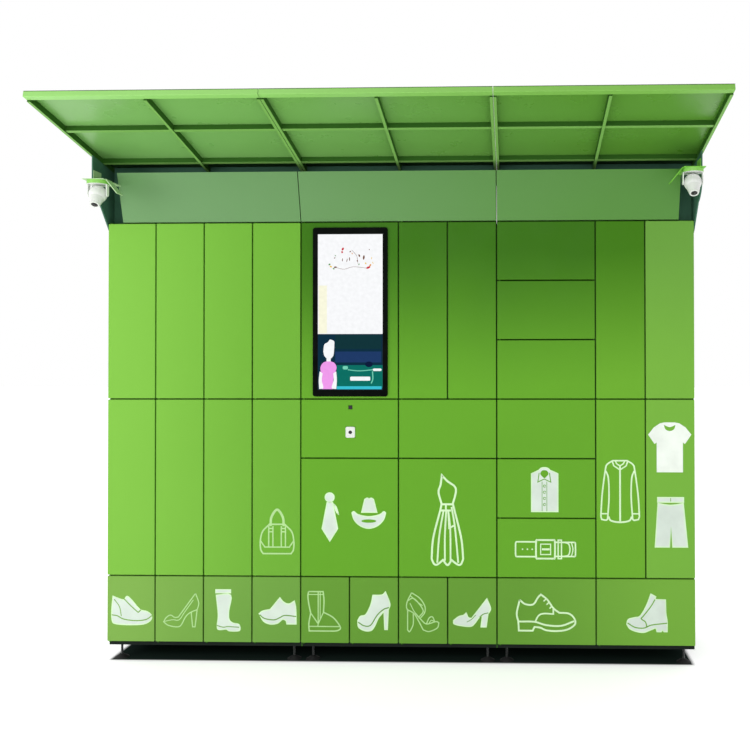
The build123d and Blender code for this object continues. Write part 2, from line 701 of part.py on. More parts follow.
def make_camera_head(index, name):
    """A ball with a tapered snout that leans forward, and a pivot pin on each side."""
    _, x, z = camera_side(index)
    axis_z = z - CAMERA_DROP
    head_plane = Plane(
        origin=(x, CAMERA_Y, axis_z),
        x_dir=(1, 0, 0),
        z_dir=(0, -sin(radians(CAMERA_LEAN)), -cos(radians(CAMERA_LEAN))),
    )
    with BuildPart() as head:
        with Locations((x, CAMERA_Y, axis_z)):
            Sphere(CAMERA_R)
        with Locations(head_plane.location * Location((0, 0, SNOUT_L / 2))):
            Cone(CAMERA_R - 1, SNOUT_TIP_R, SNOUT_L)
        with Locations(head_plane.location * Location((0, 0, SNOUT_L))):
            Cylinder(SNOUT_BORE_R, 2 * SNOUT_BORE_D, mode=Mode.SUBTRACT)
        pin_l = 2 * (CAMERA_R + YOKE_GAP + YOKE_T)
        with Locations(Location((x, CAMERA_Y, axis_z), (0, 90, 0))):
            Cylinder(CAMERA_PIN_R, pin_l)
    keep(head.part, name)


def make_display():
    """A black frame and housing that carry the portrait screen."""
    with BuildPart() as frame:
        with BuildSketch(front_plane(PANEL_X, FRONT_Y, BEZEL_Z)):
            RectangleRounded(BEZEL_W, BEZEL_H, BEZEL_R)
            with Locations((0, SCREEN_Z - BEZEL_Z)):
                Rectangle(SCREEN_W + 2 * SCREEN_FIT, SCREEN_H + 2 * SCREEN_FIT, mode=Mode.SUBTRACT)
        extrude(amount=BEZEL_PROUD)
        fillet(frame.faces().sort_by(Axis.Y)[0].outer_wire().edges(), 2.0)
        add_box(
            PANEL_X - HOUSING_W / 2, PANEL_X + HOUSING_W / 2,
            FRONT_Y + WELD_GAP, FRONT_Y + HOUSING_BACK,
            SCREEN_Z - HOUSING_H / 2, SCREEN_Z + HOUSING_H / 2,
        )
    keep(frame.part, "display_frame")
    with BuildPart() as screen:
        add_box(
            PANEL_X - SCREEN_W / 2, PANEL_X + SCREEN_W / 2,
            FRONT_Y - SCREEN_T, FRONT_Y + WELD_GAP,
            SCREEN_Z - SCREEN_H / 2, SCREEN_Z + SCREEN_H / 2,
        )
    keep(screen.part, "display_screen")


def make_scanner():
    """A white scanner body through the door, its lens, and the camera window above it."""
    proud_y = FRONT_Y - SCANNER_PROUD
    with BuildPart() as body:
        with BuildSketch(front_plane(PANEL_X, proud_y, SCANNER_Z)):
            RectangleRounded(SCANNER_W, SCANNER_H, 7.0)
        extrude(amount=-(SCANNER_PROUD + SCANNER_DEPTH))
        fillet(body.faces().sort_by(Axis.Y)[0].edges(), 1.0)
        with Locations(front_plane(PANEL_X, proud_y, SCANNER_Z).location):
            Cylinder(SCANNER_LENS_R + SCREEN_FIT, 6.0, mode=Mode.SUBTRACT)
    keep(body.part, "scanner_housing")
    with BuildPart() as glass:
        with BuildSketch(front_plane(PANEL_X, proud_y + 0.6, SCANNER_Z)):
            Circle(SCANNER_LENS_R)
        extrude(amount=-2.4)
        with BuildSketch(front_plane(PANEL_X, FRONT_Y + 0.8, EYE_Z)):
            Circle(EYE_R)
        extrude(amount=-16.0)
    keep(glass.part, "scanner_glass")


def make_gland():
    """The supply cable's inlet: a bored plug through the back with a hexagon outside."""
    plate = back_plane(GLAND_X, GLAND_Z)
    with BuildPart() as gland:
        with BuildSketch(plate):
            RegularPolygon(GLAND_NUT_R, 6)
        extrude(amount=BACK_IN)
        with BuildSketch(plate):
            Circle(GLAND_R)
        extrude(amount=-GLAND_IN)
        with BuildSketch(plate.offset(BACK_IN)):
            Circle(GLAND_BORE_R)
        extrude(amount=-(BACK_IN + GLAND_IN), mode=Mode.SUBTRACT)
    keep(gland.part, "cable_gland")


for door in DOORS:
    make_door(door)
make_door(DISPLAY_DOOR, [(PANEL_X, SCREEN_Z, HOUSING_W + 1, HOUSING_H + 1)])
make_door(
    SCANNER_DOOR,
    [(PANEL_X, SCANNER_Z, SCANNER_W + 1, SCANNER_H + 1), (PANEL_X, EYE_Z, 2 * EYE_R + 1, 2 * EYE_R + 1)],
)
make_side_panels()
make_back_panels()
make_roof_and_floor()
make_dividers()
make_shelves()
make_front_frame()
make_hinge_strips()
make_locks()
make_base_frame()
make_feet()
make_fascia()
make_canopy_beams()
make_canopy_frame()
make_canopy_sheets()
make_side_arms()
make_camera_brackets()
make_camera_bases()
make_camera_head(0, "camera_head_left")
make_camera_head(1, "camera_head_right")
make_display()
make_scanner()
make_gland()

os.makedirs("parts", exist_ok=True)
for piece in pieces:
    export_step(piece, f"parts/{piece.label}.step")
print(f"{len(pieces)} nodes, hinge axis y {HINGE_Y:.1f}, canopy slope {degrees(CANOPY_SLOPE):.2f} deg")
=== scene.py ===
# %% [markdown]
# # A parcel locker for clothes and shoes
# The steel parts of this locker come ready made from the CAD frame: doors, carcass, fascia,
# canopy, feet and cameras. This lesson dresses them. It paints every steel part, cuts the white
# film pictograms for the doors, fills the screen, and gives the cameras and feet their small parts.
# Everything is in metres. +Z is up and the doors face -Y.

# %% Load the frame
import json
import math

import bpy
import numpy as np
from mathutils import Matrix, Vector
from mathutils.geometry import tessellate_polygon


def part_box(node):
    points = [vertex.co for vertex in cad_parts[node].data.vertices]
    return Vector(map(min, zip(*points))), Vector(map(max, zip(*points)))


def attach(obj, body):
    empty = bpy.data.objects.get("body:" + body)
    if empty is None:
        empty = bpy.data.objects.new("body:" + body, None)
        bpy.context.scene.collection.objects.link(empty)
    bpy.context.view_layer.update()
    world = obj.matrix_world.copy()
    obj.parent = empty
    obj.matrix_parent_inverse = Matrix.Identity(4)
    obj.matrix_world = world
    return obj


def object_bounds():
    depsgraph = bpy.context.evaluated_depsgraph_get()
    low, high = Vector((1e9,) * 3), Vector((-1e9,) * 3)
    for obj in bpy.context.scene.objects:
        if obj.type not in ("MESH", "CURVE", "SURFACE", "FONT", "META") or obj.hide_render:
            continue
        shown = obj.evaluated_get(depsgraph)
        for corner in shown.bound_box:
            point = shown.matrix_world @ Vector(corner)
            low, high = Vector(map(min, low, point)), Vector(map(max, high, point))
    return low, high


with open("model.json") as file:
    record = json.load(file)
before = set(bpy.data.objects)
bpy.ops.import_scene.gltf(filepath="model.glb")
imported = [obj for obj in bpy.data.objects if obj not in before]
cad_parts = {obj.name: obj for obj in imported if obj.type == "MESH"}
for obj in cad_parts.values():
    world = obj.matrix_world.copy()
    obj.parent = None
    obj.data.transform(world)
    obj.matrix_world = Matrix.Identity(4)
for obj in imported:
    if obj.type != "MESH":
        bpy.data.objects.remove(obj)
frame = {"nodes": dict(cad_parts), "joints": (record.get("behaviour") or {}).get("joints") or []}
cad_low, cad_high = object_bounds()
MM = 0.001

# %% [markdown]
# ## Where things are
# The doors' faces share one plane, and every film, screen layer and lens is laid out from it.

# %% Measure the frame
face_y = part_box("door_upper_1")[0].y
screen_low, screen_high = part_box("display_screen")
joint_at = {joint["name"]: Vector(joint["pos_m"]) for joint in frame["joints"] if "pos_m" in joint}
print(f"door face at y {face_y:.4f}, screen {screen_high.x - screen_low.x:.3f} m wide")

# %% [markdown]
# ## Powder coat
# Each steel part is dipped in an even plastic powder and baked. It looks plain from far away, but
# close up it has a fine orange peel, a slow change of shade and a few duller patches where hands
# have been. Three noises on Object coordinates give those: a fine one for the bump, a broad one
# for the shade, and a middle one for the roughness. Object coordinates are used because the
# pattern then stays fixed to the metal when a door swings.

# %% A helper for shader nodes
def srgb(red, green, blue):
    """A colour on the 0 to 255 scale as linear light, by the sRGB curve, with alpha 1."""
    value = np.array([red, green, blue]) / 255.0
    linear = np.where(value <= 0.04045, value / 12.92, ((value + 0.055) / 1.055) ** 2.4)
    return (*linear.tolist(), 1.0)


def new_material(name):
    """An empty node material with its shader and the Object coordinate node."""
    material = bpy.data.materials.new(name)
    material.use_nodes = True
    shader = material.node_tree.nodes["Principled BSDF"]
    place = material.node_tree.nodes.new("ShaderNodeTexCoord").outputs["Object"]
    return material, shader, place


def noise(material, place, scale, detail=3.0):
    """One noise texture read at Object coordinates, as its single value."""
    node = material.node_tree.nodes.new("ShaderNodeTexNoise")
    node.inputs["Scale"].default_value = scale
    node.inputs["Detail"].default_value = detail
    material.node_tree.links.new(place, node.inputs["Vector"])
    return node.outputs["Fac"]


def spread(material, value, low, high):
    """The value's middle stretch, 0.3 to 0.7, mapped to low to high."""
    node = material.node_tree.nodes.new("ShaderNodeMapRange")
    node.inputs["From Min"].default_value = 0.3
    node.inputs["From Max"].default_value = 0.7
    node.inputs["To Min"].default_value = low
    node.inputs["To Max"].default_value = high
    material.node_tree.links.new(value, node.inputs["Value"])
    return node.outputs["Result"]


def between(material, amount, first, second):
    """A colour from first to second, as amount goes from 0 to 1."""
    node = material.node_tree.nodes.new("ShaderNodeMix")
    node.data_type = "RGBA"
    node.inputs["A"].default_value = first
    node.inputs["B"].default_value = second
    material.node_tree.links.new(amount, node.inputs["Factor"])
    return node.outputs["Result"]


def bump(material, shader, height, strength, distance):
    """A bump from one height value into the shader's normal."""
    node = material.node_tree.nodes.new("ShaderNodeBump")
    node.inputs["Strength"].default_value = strength
    node.inputs["Distance"].default_value = distance
    material.node_tree.links.new(height, node.inputs["Height"])
    material.node_tree.links.new(node.outputs["Normal"], shader.inputs["Normal"])


# %% Make the paints
def powder_coat(name, dark, light, rough=0.42, peel=0.12, gloss=0.4):
    """Baked powder: a broad shade from dark to light, patchy roughness and a fine orange peel."""
    material, shader, place = new_material(name)
    links = material.node_tree.links
    shade = spread(material, noise(material, place, 1.7, 2.0), 0.0, 1.0)
    links.new(between(material, shade, dark, light), shader.inputs["Base Color"])
    dull = spread(material, noise(material, place, 9.0, 4.0), rough - 0.05, rough + 0.07)
    links.new(dull, shader.inputs["Roughness"])
    shader.inputs["Specular IOR Level"].default_value = gloss
    bump(material, shader, noise(material, place, 650.0, 2.0), peel, 0.0004)
    return material


def graded_coat(name, first_shade, second_shade, low, high, axis="Z", rough=0.42, peel=0.12, gloss=0.2):
    """Powder coat that goes from one shade to another between two places along one axis, used for
    painted light and shade on the doors, fascia, canopy and beam.
    """
    material = powder_coat(name, first_shade, first_shade, rough, peel, gloss)
    tree = material.node_tree
    place = tree.nodes.new("ShaderNodeTexCoord").outputs["Object"]
    apart = tree.nodes.new("ShaderNodeSeparateXYZ")
    tree.links.new(place, apart.inputs["Vector"])
    blend_along = tree.nodes.new("ShaderNodeMapRange")
    blend_along.interpolation_type = "SMOOTHSTEP"
    blend_along.inputs["From Min"].default_value = low
    blend_along.inputs["From Max"].default_value = high
    tree.links.new(apart.outputs[axis], blend_along.inputs["Value"])
    cloud = spread(material, noise(material, place, 1.3, 2.0), -0.08, 0.08)
    total = tree.nodes.new("ShaderNodeMath")
    total.use_clamp = True
    tree.links.new(blend_along.outputs["Result"], total.inputs[0])
    tree.links.new(cloud, total.inputs[1])
    shader = tree.nodes["Principled BSDF"]
    tree.links.new(between(material, total.outputs["Value"], first_shade, second_shade),
                   shader.inputs["Base Color"])
    return material


end_x = cad_high.x
# Doors of the left bank: lighter than the others and lightest at the left end, painted light from
# the left.
door_paint_left = graded_coat(
    "door_paint_left_bank", srgb(122, 182, 66), srgb(106, 166, 52), -end_x, -end_x / 3, "X",
    gloss=0.1)
# Doors of the middle and right banks: darker towards the top, a painted shade of the canopy.
door_paint = graded_coat(
    "door_paint", srgb(98, 160, 40), srgb(54, 108, 12), 1.15, 2.0, gloss=0.1)
# Doors of column 11: a little lighter than their bank as painted light, and darker towards the top
# as painted canopy shade.
door_paint_right = graded_coat(
    "door_paint_right", srgb(105, 166, 45), srgb(62, 118, 14), 1.15, 2.0, gloss=0.1)
# Doors of column 12 at the right end: lighter as painted light, and slightly darker towards the top
# as painted shade.
door_paint_end = graded_coat(
    "door_paint_end", srgb(116, 173, 62), srgb(104, 156, 62), 1.25, 2.0, gloss=0.1)
# Lower doors of the left bank: lightest at the left end, painted light from the left.
door_paint_low_left = graded_coat(
    "door_paint_low_left", srgb(123, 168, 76), srgb(106, 154, 64), -end_x, -end_x / 3, "X",
    gloss=0.1)
# The other lower doors: lighter towards the right end, painted light.
door_paint_low = graded_coat(
    "door_paint_low", srgb(99, 149, 52), srgb(114, 167, 60), end_x / 3, end_x, "X", gloss=0.1)
carcass_paint = powder_coat("carcass_paint", srgb(50, 98, 20), srgb(56, 106, 26), 0.5, 0.12, 0.2)
# Base frame: near black, partly its own dark paint and partly painted shade under the cabinet.
base_paint = powder_coat("base_frame_paint", srgb(14, 22, 18), srgb(18, 28, 22), 0.7, 0.12, 0.2)
# Fascia: paler and greyer at the left as a painted reflection of the pale floor, greener to the
# right.
fascia_paint = graded_coat(
    "fascia_paint", srgb(100, 142, 90), srgb(78, 132, 51), -end_x, end_x, "X", 0.34, 0.05, 0.3)
# Soffit: lighter at the left, painted light from the floor below.
canopy_paint = graded_coat(
    "canopy_paint", srgb(120, 172, 94), srgb(86, 140, 46), -end_x, end_x, "X", 0.3, 0.08, 0.4)
# Front beam: lighter at the left, painted light.
beam_paint = graded_coat(
    "canopy_beam_paint", srgb(148, 204, 114), srgb(121, 176, 77), -end_x, end_x, "X", 0.35)
plate_paint = graded_coat(
    "camera_plate_paint", srgb(176, 204, 158), srgb(118, 190, 66), -end_x / 2, end_x / 2, "X")
arm_paint = powder_coat("arm_paint", srgb(62, 102, 82), srgb(68, 110, 90), 0.6, 0.12, 0.12)
# Roof sheet: dark green so the gap between fascia and soffit reads as deep shade, painted shade.
roof_paint = powder_coat("roof_paint", srgb(26, 56, 24), srgb(30, 62, 28), 0.6, 0.12, 0.15)
# The hinge strips are zinc, but are painted dark green as painted shade so the gaps between door
# rows stay dark.
strip_paint = powder_coat("hinge_strip_paint", srgb(40, 84, 18), srgb(46, 92, 22), 0.6, 0.12, 0.1)


def folded_lit_coat(name, side, under):
    """Powder coat on folded ribs with painted light: dark upright faces as painted shade, pale
    downward lips as painted light from below.
    """
    material = powder_coat(name, side, side, 0.5, 0.1, 0.15)
    tree = material.node_tree
    facing = tree.nodes.new("ShaderNodeTexCoord").outputs["Normal"]
    apart = tree.nodes.new("ShaderNodeSeparateXYZ")
    tree.links.new(facing, apart.inputs["Vector"])
    lip = tree.nodes.new("ShaderNodeMapRange")
    lip.inputs["From Min"].default_value = -0.4
    lip.inputs["From Max"].default_value = -0.8
    tree.links.new(apart.outputs["Z"], lip.inputs["Value"])
    shader = tree.nodes["Principled BSDF"]
    tree.links.new(between(material, lip.outputs["Result"], side, under),
                   shader.inputs["Base Color"])
    return material


rib_paint = folded_lit_coat("canopy_rib_paint", srgb(46, 90, 26), srgb(118, 168, 84))
print("made", len(bpy.data.materials), "materials so far")

# %% [markdown]
# ## Plastics, zinc, rubber and glass
# These are the small materials. Moulded plastic has a very fine grain, zinc plate has a faint
# cloudy pattern of crystals, rubber is dull with dust in it, and glass is a hard black gloss.

# %% Make the small materials
def moulded(name, colour, rough, grain=900.0, depth=0.05):
    """Moulded plastic or rubber: an even colour with slight dust and a fine moulded grain."""
    material, shader, place = new_material(name)
    dusty = tuple(min(1.0, part * 0.88 + 0.003) for part in colour[:3]) + (1.0,)
    dust = spread(material, noise(material, place, 14.0), 0.0, 1.0)
    material.node_tree.links.new(
        between(material, dust, colour, dusty), shader.inputs["Base Color"]
    )
    patch = spread(material, noise(material, place, 30.0), rough - 0.04, rough + 0.06)
    material.node_tree.links.new(patch, shader.inputs["Roughness"])
    bump(material, shader, noise(material, place, grain, 2.0), depth, 0.0003)
    return material


def plated(name, colour):
    """Zinc plate: metal with a cloudy crystal shade from a cell pattern."""
    material, shader, place = new_material(name)
    cells = material.node_tree.nodes.new("ShaderNodeTexVoronoi")
    cells.inputs["Scale"].default_value = 120.0
    material.node_tree.links.new(place, cells.inputs["Vector"])
    shade = spread(material, cells.outputs["Distance"], 0.0, 1.0)
    pale = tuple(min(1.0, part * 1.2) for part in colour[:3]) + (1.0,)
    material.node_tree.links.new(
        between(material, shade, colour, pale), shader.inputs["Base Color"]
    )
    shader.inputs["Metallic"].default_value = 1.0
    shader.inputs["Roughness"].default_value = 0.38
    return material


black_plastic = moulded("black_plastic", srgb(14, 16, 16), 0.3)
bezel_gloss = moulded("bezel_gloss", srgb(4, 8, 5), 0.3, 300.0, 0.01)
bezel_gloss.node_tree.nodes["Principled BSDF"].inputs["Specular IOR Level"].default_value = 0.02
lock_plastic = moulded("lock_plastic", srgb(24, 26, 28), 0.45)
white_plastic = moulded("white_plastic", srgb(226, 228, 224), 0.36)
pad_rubber = moulded("pad_rubber", srgb(20, 22, 22), 0.75)
dark_glass = moulded("dark_glass", srgb(6, 8, 12), 0.08, 200.0, 0.004)
zinc = plated("zinc_plate", srgb(176, 178, 180))


def two_tone(name, lower, upper, left_z, right_z):
    """Moulded plastic in two colours, divided at one height on the left and one on the right."""
    material = moulded(name, lower, 0.4)
    tree = material.node_tree
    apart = tree.nodes.new("ShaderNodeSeparateXYZ")
    tree.links.new(tree.nodes.new("ShaderNodeTexCoord").outputs["Object"], apart.inputs["Vector"])
    side = tree.nodes.new("ShaderNodeMapRange")
    side.inputs["From Min"].default_value = -0.01
    side.inputs["From Max"].default_value = 0.01
    side.inputs["To Min"].default_value = left_z
    side.inputs["To Max"].default_value = right_z
    tree.links.new(apart.outputs["X"], side.inputs["Value"])
    over = tree.nodes.new("ShaderNodeMath")
    over.operation = "GREATER_THAN"
    tree.links.new(apart.outputs["Z"], over.inputs[0])
    tree.links.new(side.outputs["Result"], over.inputs[1])
    shader = tree.nodes["Principled BSDF"]
    tree.links.new(between(material, over.outputs["Value"], lower, upper),
                   shader.inputs["Base Color"])
    return material


CAP_DROP = 42.0 * MM
camera_cap = two_tone("camera_cap", srgb(226, 228, 224), srgb(132, 196, 84),
                      joint_at["camera_left_tilt"].z + CAP_DROP,
                      joint_at["camera_right_tilt"].z + CAP_DROP)
print("made", len(bpy.data.materials), "materials so far")

# %% [markdown]
# ## Painting the frame
# A CAD node keeps its mesh, and only its material slots are filled. The doors don't all look the
# same under the canopy: the left bank and the right end are lighter and the tops of the others
# darker. Most of that light and shade is painted into the door colours, so each group of doors has
# its own paint.

# %% Assign the materials
NODE_FINISH = {
    "side_panels": carcass_paint, "back_panels": carcass_paint, "roof_floor_panels": carcass_paint,
    "column_dividers": carcass_paint, "shelves": carcass_paint, "front_frame": carcass_paint,
    "base_frame": base_paint, "hinge_strips": strip_paint, "electric_locks": lock_plastic,
    "levelling_feet": pad_rubber, "fascia_panels": fascia_paint, "canopy_front_beams": beam_paint,
    "canopy_frame": rib_paint, "canopy_soffit": canopy_paint, "canopy_roof": roof_paint,
    "side_arms": arm_paint, "camera_brackets": plate_paint, "camera_bases": camera_cap,
    "camera_head_left": white_plastic, "camera_head_right": white_plastic,
    "display_frame": bezel_gloss, "display_screen": dark_glass, "scanner_housing": white_plastic,
    "scanner_glass": dark_glass, "cable_gland": black_plastic,
}


def door_finish(name):
    """The left bank's paint for a door that ends before the first bank joint."""
    bank_w = (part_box("side_panels")[1].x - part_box("side_panels")[0].x) / 3
    joint_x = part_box("side_panels")[0].x + bank_w
    on_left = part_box(name)[1].x < joint_x + 0.01
    if name.startswith("door_lower"):
        return door_paint_low_left if on_left else door_paint_low
    if on_left:
        return door_paint_left
    return {"11": door_paint_right, "12": door_paint_end}.get(name.split("_")[-1], door_paint)


for name, node in frame["nodes"].items():
    finish = NODE_FINISH.get(name) or door_finish(name)
    node.data.materials.clear()
    node.data.materials.append(finish)
print("painted", len(frame["nodes"]), "nodes")

# %% [markdown]
# ## Cut film
# The pictograms on the doors are plotter-cut adhesive film, about a third of a millimetre thick.
# A stroke is a thin band: a curve with a rectangular section carried along it. A solid shape is a
# closed outline filled flat and given the same thickness. Both are worked out as arrays. Each
# pictogram is drawn in a unit square, x to the right and z up, and is then sized to its door.

# %% Curves from a few points
def smooth_run(points, steps=7):
    """
    A Catmull-Rom curve through the points. Between two points p1 and p2 with neighbours p0 and
    p3 it is half of (2 p1 + (p2 - p0) t + (2 p0 - 5 p1 + 4 p2 - p3) t^2
    + (3 p1 - p0 - 3 p2 + p3) t^3). Two points give a straight run.
    """
    p = np.asarray(points, float)
    if len(p) == 2:
        return p
    p = np.vstack([2 * p[0] - p[1], p, 2 * p[-1] - p[-2]])
    t = np.linspace(0.0, 1.0, steps, endpoint=False)[None, :, None]
    p0, p1, p2, p3 = p[:-3, None], p[1:-2, None], p[2:-1, None], p[3:, None]
    curve = 0.5 * (2 * p1 + (p2 - p0) * t + (2 * p0 - 5 * p1 + 4 * p2 - p3) * t**2
                   + (3 * p1 - p0 - 3 * p2 + p3) * t**3)
    return np.vstack([curve.reshape(-1, 2), p[-2]])


def join_runs(*runs):
    """Smooth runs joined end to end, so that a sharp corner stays where two runs meet."""
    curves = [smooth_run(run) for run in runs]
    kept = [curves[0]] + [c[1:] for c in curves[1:]]
    return np.vstack(kept)


def ring(cx, cz, rx, rz, count=24):
    """An ellipse as points: centre plus (rx cos a, rz sin a), with a round the full turn."""
    a = np.linspace(0.0, 2 * np.pi, count, endpoint=False)
    return np.column_stack([cx + rx * np.cos(a), cz + rz * np.sin(a)])


# %% Bands and filled shapes
def band(path, width, closed=False):
    """
    Corner points of a flat band. Each path point moves half the width along its mitre: the
    sum of the two edge normals beside it, divided by one plus their dot product.
    """
    p = np.asarray(path, float)
    step = np.roll(p, -1, 0) - p if closed else np.diff(p, axis=0)
    unit = step / np.maximum(np.linalg.norm(step, axis=1, keepdims=True), 1e-9)
    normal = np.column_stack([-unit[:, 1], unit[:, 0]])
    before = np.roll(normal, 1, 0) if closed else np.vstack([normal[:1], normal])
    after = normal if closed else np.vstack([normal, normal[-1:]])
    mitre = (before + after) / np.maximum(1 + (before * after).sum(1, keepdims=True), 0.35)
    return p + mitre * width / 2, p - mitre * width / 2


def band_slab(path, width, y_front, y_back, closed=False):
    """A band with thickness: four corner rows carried along the path, capped if it is open."""
    left, right = band(path, width, closed)
    n = len(left)
    rows = [(left, y_front), (right, y_front), (right, y_back), (left, y_back)]
    verts = np.vstack([np.column_stack([r[:, 0], np.full(n, y), r[:, 1]]) for r, y in rows])
    i = np.arange(n if closed else n - 1)
    j = (i + 1) % n
    faces = []
    for a in range(4):
        b = (a + 1) % 4
        faces.append(np.column_stack([a * n + i, a * n + j, b * n + j, b * n + i]))
    if not closed:
        faces.append(np.array([[0, n, 2 * n, 3 * n]]))
        faces.append(np.array([[4 * n - 1, 3 * n - 1, 2 * n - 1, n - 1]]))
    return verts, np.vstack(faces).tolist()


def fill_slab(outline, y_front, y_back):
    """A closed outline filled front and back by triangles, with a rim wall between them."""
    p = np.asarray(outline, float)
    area = np.sum(p[:, 0] * np.roll(p[:, 1], -1) - np.roll(p[:, 0], -1) * p[:, 1])
    if area < 0:
        p = p[::-1]
    n = len(p)
    tris = np.array(tessellate_polygon([[Vector((x, z, 0.0)) for x, z in p]]))
    a, b, c = p[tris[:, 0]], p[tris[:, 1]], p[tris[:, 2]]
    turn = (b[:, 0] - a[:, 0]) * (c[:, 1] - a[:, 1]) - (b[:, 1] - a[:, 1]) * (c[:, 0] - a[:, 0])
    tris[turn < 0] = tris[turn < 0][:, ::-1]
    verts = np.vstack([np.column_stack([p[:, 0], np.full(n, y), p[:, 1]]) for y in (y_front,
                                                                                    y_back)])
    i = np.arange(n)
    j = (i + 1) % n
    rim = np.column_stack([i, i + n, j + n, j])
    return verts, tris.tolist() + (tris[:, ::-1] + n).tolist() + rim.tolist()


# %% A piece from many slabs
def build_piece(name, parts, body):
    """One mesh object from (vertices, faces, material) parts, riding on a CAD body."""
    mesh = bpy.data.meshes.new(name)
    verts, faces, marks, finishes = [], [], [], []
    start = 0
    for part_verts, part_faces, finish in parts:
        if finish not in finishes:
            finishes.append(finish)
        verts.append(np.asarray(part_verts, float))
        faces += [[start + k for k in face] for face in part_faces]
        marks += [finishes.index(finish)] * len(part_faces)
        start += len(part_verts)
    mesh.from_pydata(np.vstack(verts).tolist(), [], faces)
    for finish in finishes:
        mesh.materials.append(finish)
    mesh.polygons.foreach_set("material_index", marks)
    mesh.update()
    piece = bpy.data.objects.new(name, mesh)
    bpy.context.collection.objects.link(piece)
    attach(piece, body)
    return piece


# %% [markdown]
# ## The pictograms
# Each drawing is a small table on a unit square. `fill` holds closed shapes in pale film and `rim`
# the width of the bright edge round them. `hole` and `line` are laid over in the door's own paint.
# `stroke` and `loop` are open and closed outlines, and `ink` their film. They are plain clothes
# signs with no lettering.

# %% Film
film_grey = moulded("film_grey", srgb(214, 226, 216), 0.5, 400.0, 0.03)
film_mint = moulded("film_mint", srgb(214, 244, 196), 0.5, 400.0, 0.03)
film_white = moulded("film_white", srgb(240, 247, 238), 0.5, 400.0, 0.03)
film_pale = moulded("film_pale_green", srgb(176, 218, 144), 0.5, 400.0, 0.03)
LINE_STEP = 0.02 * MM  # where two lines cross, the later one lies this much higher
FILM_T = 0.3 * MM
FILM_LIFT = 0.05 * MM


def place(path, middle, size):
    """Unit square points moved onto the door: middle plus (point - one half) times size."""
    p = np.asarray(path, float)
    return np.column_stack([
        middle[0] + (p[:, 0] - 0.5) * size[0], middle[1] + (p[:, 1] - 0.5) * size[1]
    ])


def pictogram(name, door, offset, size, drawing):
    """All the film of one drawing, laid on its door's face in a few thin layers."""
    low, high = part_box(door)
    middle = ((low.x + high.x) / 2 + offset[0] * MM, (low.z + high.z) / 2 + offset[1] * MM)
    size = (size[0] * MM, size[1] * MM)
    back = face_y - FILM_LIFT
    paint = frame["nodes"][door].data.materials[0]
    body_film = drawing.get("film", film_grey)
    rim_film = film_white if body_film is film_white else film_mint
    parts = []
    for path in drawing.get("fill", []):
        outline = place(path, middle, size)
        parts.append((*fill_slab(outline, back - FILM_T, back), body_film))
        if drawing.get("rim", 5.0):
            rim = band_slab(outline, drawing.get("rim", 5.0) * MM, back - 1.3 * FILM_T,
                            back - FILM_T, True)
            parts.append((*rim, rim_film))
    for path in drawing.get("hole", []):
        outline = place(path, middle, size)
        parts.append((*fill_slab(outline, back - 1.7 * FILM_T, back - FILM_T), paint))
    for path, width in drawing.get("line", []):
        route = place(path, middle, size)
        parts.append((*band_slab(route, width * MM, back - 1.7 * FILM_T, back - FILM_T), paint))
    lines = [(path, width, False) for path, width in drawing.get("stroke", [])]
    lines += [(path, width, True) for path, width in drawing.get("loop", [])]
    for number, (path, width, closed) in enumerate(lines):
        route = place(path, middle, size)
        front = back - 2.0 * FILM_T - number * LINE_STEP
        parts.append((*band_slab(route, width * MM, front, back, closed),
                      drawing.get("ink", film_mint)))
    return build_piece(f"film_{name}", parts, door)


def mirrored(path):
    """The same path on the other side of the unit square's middle."""
    p = np.asarray(path, float)
    return np.column_stack([1.0 - p[:, 0], p[:, 1]])


# %% Bag, tie and hat
bag_strap = [[(0.26, 0.17), (0.26, 0.62)], [(0.38, 0.17), (0.38, 0.62)],
             [(0.26, 0.50), (0.38, 0.50)], [(0.26, 0.57), (0.38, 0.57)]]
handbag = {
    "ink": film_pale,
    "stroke": [
        (smooth_run([(0.31, 0.62), (0.34, 0.82), (0.50, 0.975), (0.66, 0.82), (0.69, 0.62)]), 11),
        (join_runs([(0.02, 0.31), (0.15, 0.17)], [(0.15, 0.17), (0.85, 0.17)],
                   [(0.85, 0.17), (0.98, 0.31)]), 6),
    ] + [(np.array(p), 6) for p in bag_strap] + [(mirrored(p), 6) for p in bag_strap],
    "loop": [(join_runs([(0.72, 0.66), (0.28, 0.66)],
                        [(0.28, 0.66), (0.08, 0.50), (0.02, 0.30), (0.03, 0.12), (0.10, 0.03)],
                        [(0.10, 0.03), (0.90, 0.03)],
                        [(0.90, 0.03), (0.97, 0.12), (0.98, 0.30), (0.92, 0.50),
                         (0.72, 0.66)])[:-1], 7)],
}
necktie = {
    "fill": [
        ring(0.46, 0.905, 0.27, 0.092),
        np.array([(0.31, 0.80), (0.01, 0.26), (0.47, 0.005), (0.94, 0.26), (0.63, 0.80)]),
        join_runs([(0.70, 0.77), (0.86, 0.70), (1.0, 0.55)],
                  [(1.0, 0.55), (0.84, 0.62), (0.70, 0.77)])[:-1],
    ],
}
hat = {
    "fill": [
        join_runs([(0.29, 0.53), (0.38, 0.95)], [(0.38, 0.95), (0.45, 0.99), (0.51, 0.96)],
                  [(0.51, 0.96), (0.57, 0.99), (0.64, 0.95)], [(0.64, 0.95), (0.74, 0.53)]),
        join_runs([(0.0, 0.51), (0.06, 0.55), (0.19, 0.45), (0.50, 0.39), (0.81, 0.45),
                   (0.94, 0.55), (1.0, 0.51)],
                  [(1.0, 0.51), (0.93, 0.28), (0.75, 0.09), (0.50, 0.01), (0.25, 0.09),
                   (0.07, 0.28), (0.0, 0.51)])[:-1],
    ],
    "hole": [ring(0.50, 0.245, 0.22, 0.055)],
}

